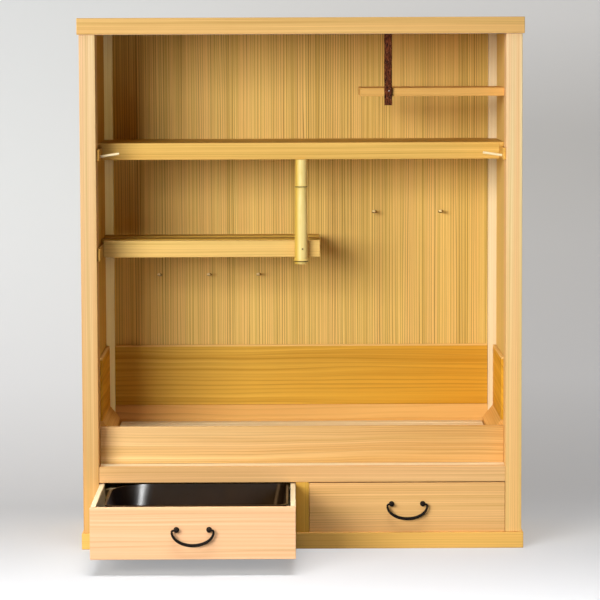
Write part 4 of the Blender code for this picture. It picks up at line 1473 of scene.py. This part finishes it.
@dataclass
class Tub:
    """The glossy tub in the left drawer, with round corners and a rolled rim."""

    node: str = "drawer_tub"
    rim: float = 0.005
    rise: float = 0.004
    lip: float = 0.004
    lip_turn: float = 0.15
    tight_corner: float = 0.026
    wide_corner: float = 0.110
    corner_steps: int = 12
    corner_slack: float = 1.01
    foot_share: float = 0.50
    foot: float = 0.018
    foot_steps: int = 8
    draft: float = 0.026
    wall: float = 0.0026
    sharp: float = 60.0

    def build(self) -> Piece:
        """Makes the tub as a rounded open box with a rim, and gives it a wall.

        Returns:
            The tub.
        """
        low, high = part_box(self.node)
        inner_low = low + Vector((self.rim, self.rim, 0.0))
        inner_high = high - Vector((self.rim, self.rim, -self.rise))
        size = inner_high - inner_low
        shape = self.open_box(size)
        self.roll_rim(shape, size)
        bmesh.ops.translate(shape, vec=(inner_low + inner_high) / 2, verts=shape.verts)
        bmesh.ops.recalc_face_normals(shape, faces=shape.faces)
        plastic = PLASTIC.material("tub")
        piece = add_piece("moulded_tub", shape, plastic, "left_drawer", [self.node],
                          self.sharp)
        wall = piece.modifiers.new("wall", "SOLIDIFY")
        wall.thickness = self.wall
        wall.offset = -1.0
        wall.use_even_offset = True
        return piece

    def open_box(self, size: Vector) -> Shape:
        """Makes the box without a lid: one wide rear corner, three smaller ones, a draft and a round foot.

        Args:
            size: Its three sides, at the rim.

        Returns:
            The open shape, round the origin.
        """
        shape = block(size)
        lid = [face for face in shape.faces if face.normal.z > 0.5]
        bmesh.ops.delete(shape, geom=lid, context="FACES")
        uprights = edges_along(shape, "z", size.z)
        rear_left = [edge for edge in uprights if edge.verts[0].co.x < 0.0 < edge.verts[0].co.y]
        others = [edge for edge in uprights if edge not in rear_left]
        round_edges(shape, rear_left, self.wide_corner, self.corner_steps)
        round_edges(shape, others, self.tight_corner, self.corner_steps)
        bottom = [vert for vert in shape.verts if vert.co.z < 0.0]
        self.tighten(shape, bottom, Vector((-size.x / 2, size.y / 2, -size.z / 2)))
        narrow = (1.0 - 2.0 * self.draft / size.x, 1.0 - 2.0 * self.draft / size.y, 1.0)
        bmesh.ops.scale(shape, vec=narrow, verts=bottom)
        foot = [edge for edge in shape.edges if max(vert.co.z for vert in edge.verts) < 0.0]
        round_edges(shape, foot, self.foot, self.foot_steps)
        return shape

    def tighten(self, shape: Shape, bottom: Iterable[bmesh.types.BMVert], corner: Vector) -> None:
        """Draws the wide corner's arc at the bottom in towards the corner.

        Args:
            shape: The open box.
            bottom: Its bottom vertices.
            corner: Bottom corner that the arc goes round.
        """
        reach = self.corner_slack * self.wide_corner
        arc = [vert for vert in bottom
               if max(abs(vert.co.x - corner.x), abs(vert.co.y - corner.y)) < reach]
        bmesh.ops.scale(shape, vec=(self.foot_share, self.foot_share, 1.0), verts=arc,
                        space=Matrix.Translation(-corner))

    def roll_rim(self, shape: Shape, size: Vector) -> None:
        """Rolls the open edge out and down.

        Args:
            shape: The open box, round the origin.
            size: Its three sides, at the rim.
        """
        turns = ((self.rim / 2, 0.0), (self.rim, -self.lip * self.lip_turn), (self.rim, -self.lip))
        for out, down in turns:
            edges = [edge for edge in shape.edges if edge.is_boundary]
            lip = new_verts(bmesh.ops.extrude_edge_only(shape, edges=edges)["geom"])
            across = max(abs(vert.co.x) for vert in lip)
            along = max(abs(vert.co.y) for vert in lip)
            grow = ((size.x / 2 + out) / across, (size.y / 2 + out) / along, 1.0)
            bmesh.ops.scale(shape, vec=grow, verts=lip)
            for vert in lip:
                vert.co.z = size.z / 2 + down


@dataclass(frozen=True)
class Softbox:
    """A rectangular studio lamp, which the camera doesn't see."""

    name: str
    place: Point
    target: Point
    size: Span
    power: float
    colour: Colour = (1.0, 1.0, 1.0)
    spread: float = 180.0

    def add(self) -> Piece:
        """Puts the lamp into the scene.

        Returns:
            The lamp.
        """
        data = bpy.data.lights.new(self.name, "AREA")
        data.spread = math.radians(self.spread)
        data.shape = "RECTANGLE"
        data.size, data.size_y = self.size
        data.energy = self.power
        data.color = self.colour
        lamp = bpy.data.objects.new(self.name, data)
        lamp.location = self.place
        lamp.visible_camera = False
        aim = Vector(self.target) - Vector(self.place)
        lamp.rotation_euler = aim.to_track_quat("-Z", "Y").to_euler()
        bpy.context.scene.collection.objects.link(lamp)
        return lamp

    def add_for(self, piece: Piece) -> Piece:
        """Puts the lamp into the scene to light one piece alone.

        Args:
            piece: The piece.

        Returns:
            The lamp.
        """
        lamp = self.add()
        shown_on = bpy.data.collections.new(f"{self.name}_shown_on")
        shown_on.objects.link(piece)
        lamp.light_linking.receiver_collection = shown_on
        return lamp


# Lamps of the studio
CABINET_MIDDLE: Point = (0.0, 0.0, 0.75)
KEY = Softbox("key", place=(-3.7, -6.5, 2.4), target=CABINET_MIDDLE, size=(4.1, 3.1), power=562.0,
              colour=(1.0, 0.98, 0.95))
OVERHEAD = Softbox("overhead", place=(-0.4, -2.0, 3.6), target=(-0.4, -2.0, 0.0), size=(3.6, 2.0),
                   power=70.0, spread=64.0)
REAR_LEFT = Softbox("rear_left", place=(-4.5, 2.5, 2.6), target=CABINET_MIDDLE, size=(2.0, 2.0),
                    power=180.0, colour=(1.0, 0.99, 0.97))
REAR_RIGHT = replace(REAR_LEFT, name="rear_right", place=(4.5, 2.5, 2.6))
GLEAM = Softbox("gleam", place=(2.3, -4.4, 1.2), target=(-0.4, 0.0, 0.3), size=(0.9, 1.6), power=4100.0,
                colour=(0.28, 0.47, 1.0))
CORNER_FILL = Softbox("corner_fill", place=(2.6, -6.5, 1.6), target=(-0.5, 0.2, 0.7), size=(2.0, 2.0),
                      power=80.0, colour=(1.0, 0.83, 0.40))


@dataclass
class Studio:
    """Pale sweep, soft lights and the camera."""

    eye: Point = (-0.0259, -7.7820, 1.3458)
    yaw: float = 0.00285
    pitch: float = 0.09116
    roll: float = 0.0038
    focal_pixels: float = 2904.6
    image: float = 600.0
    sensor: float = 36.0
    floor_front: float = -9.0
    sweep_start: float = 0.45
    sweep_radius: float = 0.7
    sweep_steps: int = 24
    wall_top: float = 5.0
    half_width: float = 7.0
    round_radius: float = 13.0
    round_sweep: float = 2.0
    round_top: float = 7.0
    round_drop: float = 0.002
    round_facets: int = 96
    world_strength: float = 0.006

    def build(self) -> None:
        """Makes the sweep, the round wall, the lights, the world and the camera."""
        paper = PAPER.material()
        sweep_sheet = self.stand("sweep", self.backdrop(), paper)
        round_sheet = self.stand("round_wall", self.surround(), paper)
        self.lights([sweep_sheet, round_sheet])
        self.world()
        self.camera()
        bpy.context.scene.view_settings.view_transform = "Standard"

    def bend(self, start: float, radius: float) -> list[Span]:
        """Works out the bend from a floor up to a wall.

        Args:
            start: Place on the floor where the bend begins.
            radius: Radius of the bend.

        Returns:
            Place and height of each point.
        """
        angles = (math.pi / 2 * index / self.sweep_steps for index in range(self.sweep_steps + 1))
        return [(start + radius * math.sin(angle), radius * (1.0 - math.cos(angle))) for angle in angles]

    def backdrop(self) -> Shape:
        """Shapes the floor that sweeps up into a wall behind the cabinet.

        Returns:
            The open sheet.
        """
        shape = bmesh.new()
        wall = self.sweep_start + self.sweep_radius
        profile = [(self.floor_front, 0.0), *self.bend(self.sweep_start, self.sweep_radius),
                   (wall, self.wall_top)]
        points = [shape.verts.new((-self.half_width, depth, height)) for depth, height in profile]
        edges = [shape.edges.new(pair) for pair in zip(points, points[1:])]
        far = new_verts(bmesh.ops.extrude_edge_only(shape, edges=edges)["geom"])
        bmesh.ops.translate(shape, vec=(2.0 * self.half_width, 0.0, 0.0), verts=far)
        return shape

    def surround(self) -> Shape:
        """Shapes the wider floor and the round wall that the other sides are seen against.

        Returns:
            The open bowl.
        """
        bend = self.bend(self.round_radius - self.round_sweep, self.round_sweep)
        shape = lathe([(0.0, 0.0), *bend, (self.round_radius, self.round_top)], self.round_facets)
        bmesh.ops.translate(shape, vec=(0.0, 0.0, -self.round_drop), verts=shape.verts)
        return shape

    def stand(self, name: str, shape: Shape, paper: Material) -> Piece:
        """Turns a sheet of the studio into an object of the stage, with its floor facing up.

        Args:
            name: Name of the sheet.
            shape: The open sheet.
            paper: Its material.

        Returns:
            The new object.
        """
        shape.normal_update()
        floor = min(shape.faces, key=lambda face: face.calc_center_median().z)
        if floor.normal.z < 0.0:
            bmesh.ops.reverse_faces(shape, faces=shape.faces)
        for face in shape.faces:
            face.smooth = True
        data = bpy.data.meshes.new(name)
        shape.to_mesh(data)
        shape.free()
        data.materials.append(paper)
        sheet = bpy.data.objects.new(name, data)
        bpy.context.scene.collection.objects.link(sheet)
        return sheet

    def lights(self, stage: Sequence[Piece]) -> None:
        """Adds the softboxes in front of the cabinet, above it and behind it.

        Args:
            stage: Sheets of paper that the rear lamps leave alone.
        """
        KEY.add()
        OVERHEAD.add()
        left_out = bpy.data.collections.new("paper_left_out")
        for sheet in stage:
            left_out.objects.link(sheet)
        for entry in left_out.collection_objects:
            entry.light_linking.link_state = "EXCLUDE"
        for softbox in (REAR_LEFT, REAR_RIGHT):
            rear = softbox.add()
            rear.light_linking.receiver_collection = left_out
            rear.light_linking.blocker_collection = left_out

    def world(self) -> None:
        """Adds the dim white world."""
        world = bpy.data.worlds.new("studio")
        world.use_nodes = True
        background = world.node_tree.nodes["Background"]
        background.inputs["Color"].default_value = (1.0, 1.0, 1.0, 1.0)
        background.inputs["Strength"].default_value = self.world_strength
        bpy.context.scene.world = world

    def camera(self) -> None:
        """Adds the camera at the photograph's place and angle."""
        data = bpy.data.cameras.new("camera")
        data.sensor_width = self.sensor
        data.lens = self.focal_pixels * self.sensor / self.image
        right = Vector((math.cos(self.yaw), -math.sin(self.yaw), 0.0))
        ahead = Vector((math.sin(self.yaw), math.cos(self.yaw), 0.0))
        level = Vector((0.0, 0.0, 1.0))
        forward = ahead * math.cos(self.pitch) - level * math.sin(self.pitch)
        above = ahead * math.sin(self.pitch) + level * math.cos(self.pitch)
        turned_right = right * math.cos(self.roll) - above * math.sin(self.roll)
        turned_up = right * math.sin(self.roll) + above * math.cos(self.roll)
        turn = Matrix((turned_right, turned_up, -forward)).transposed().to_4x4()
        item = bpy.data.objects.new("camera", data)
        item.matrix_world = Matrix.Translation(self.eye) @ turn
        bpy.context.scene.collection.objects.link(item)
        bpy.context.scene.camera = item


def main() -> None:
    """Builds the studio and dresses the cabinet, piece by piece."""
    logging.basicConfig(level=logging.INFO, format="%(name)s: %(message)s")
    Studio().build()
    Boards().dress()
    RailTongues().build()
    Cane().build()
    BarkStrip().build()
    Pegs().build()
    for side in ("left", "right"):
        Pull(side).build()
    gleam = GLEAM.add_for(Tub().build())
    gleam.visible_diffuse = False
    CORNER_FILL.add_for(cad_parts["left_rear_post"])
    coat("sink_pan", PLASTIC.material("pan"))


if __name__ == "__main__":
    main()
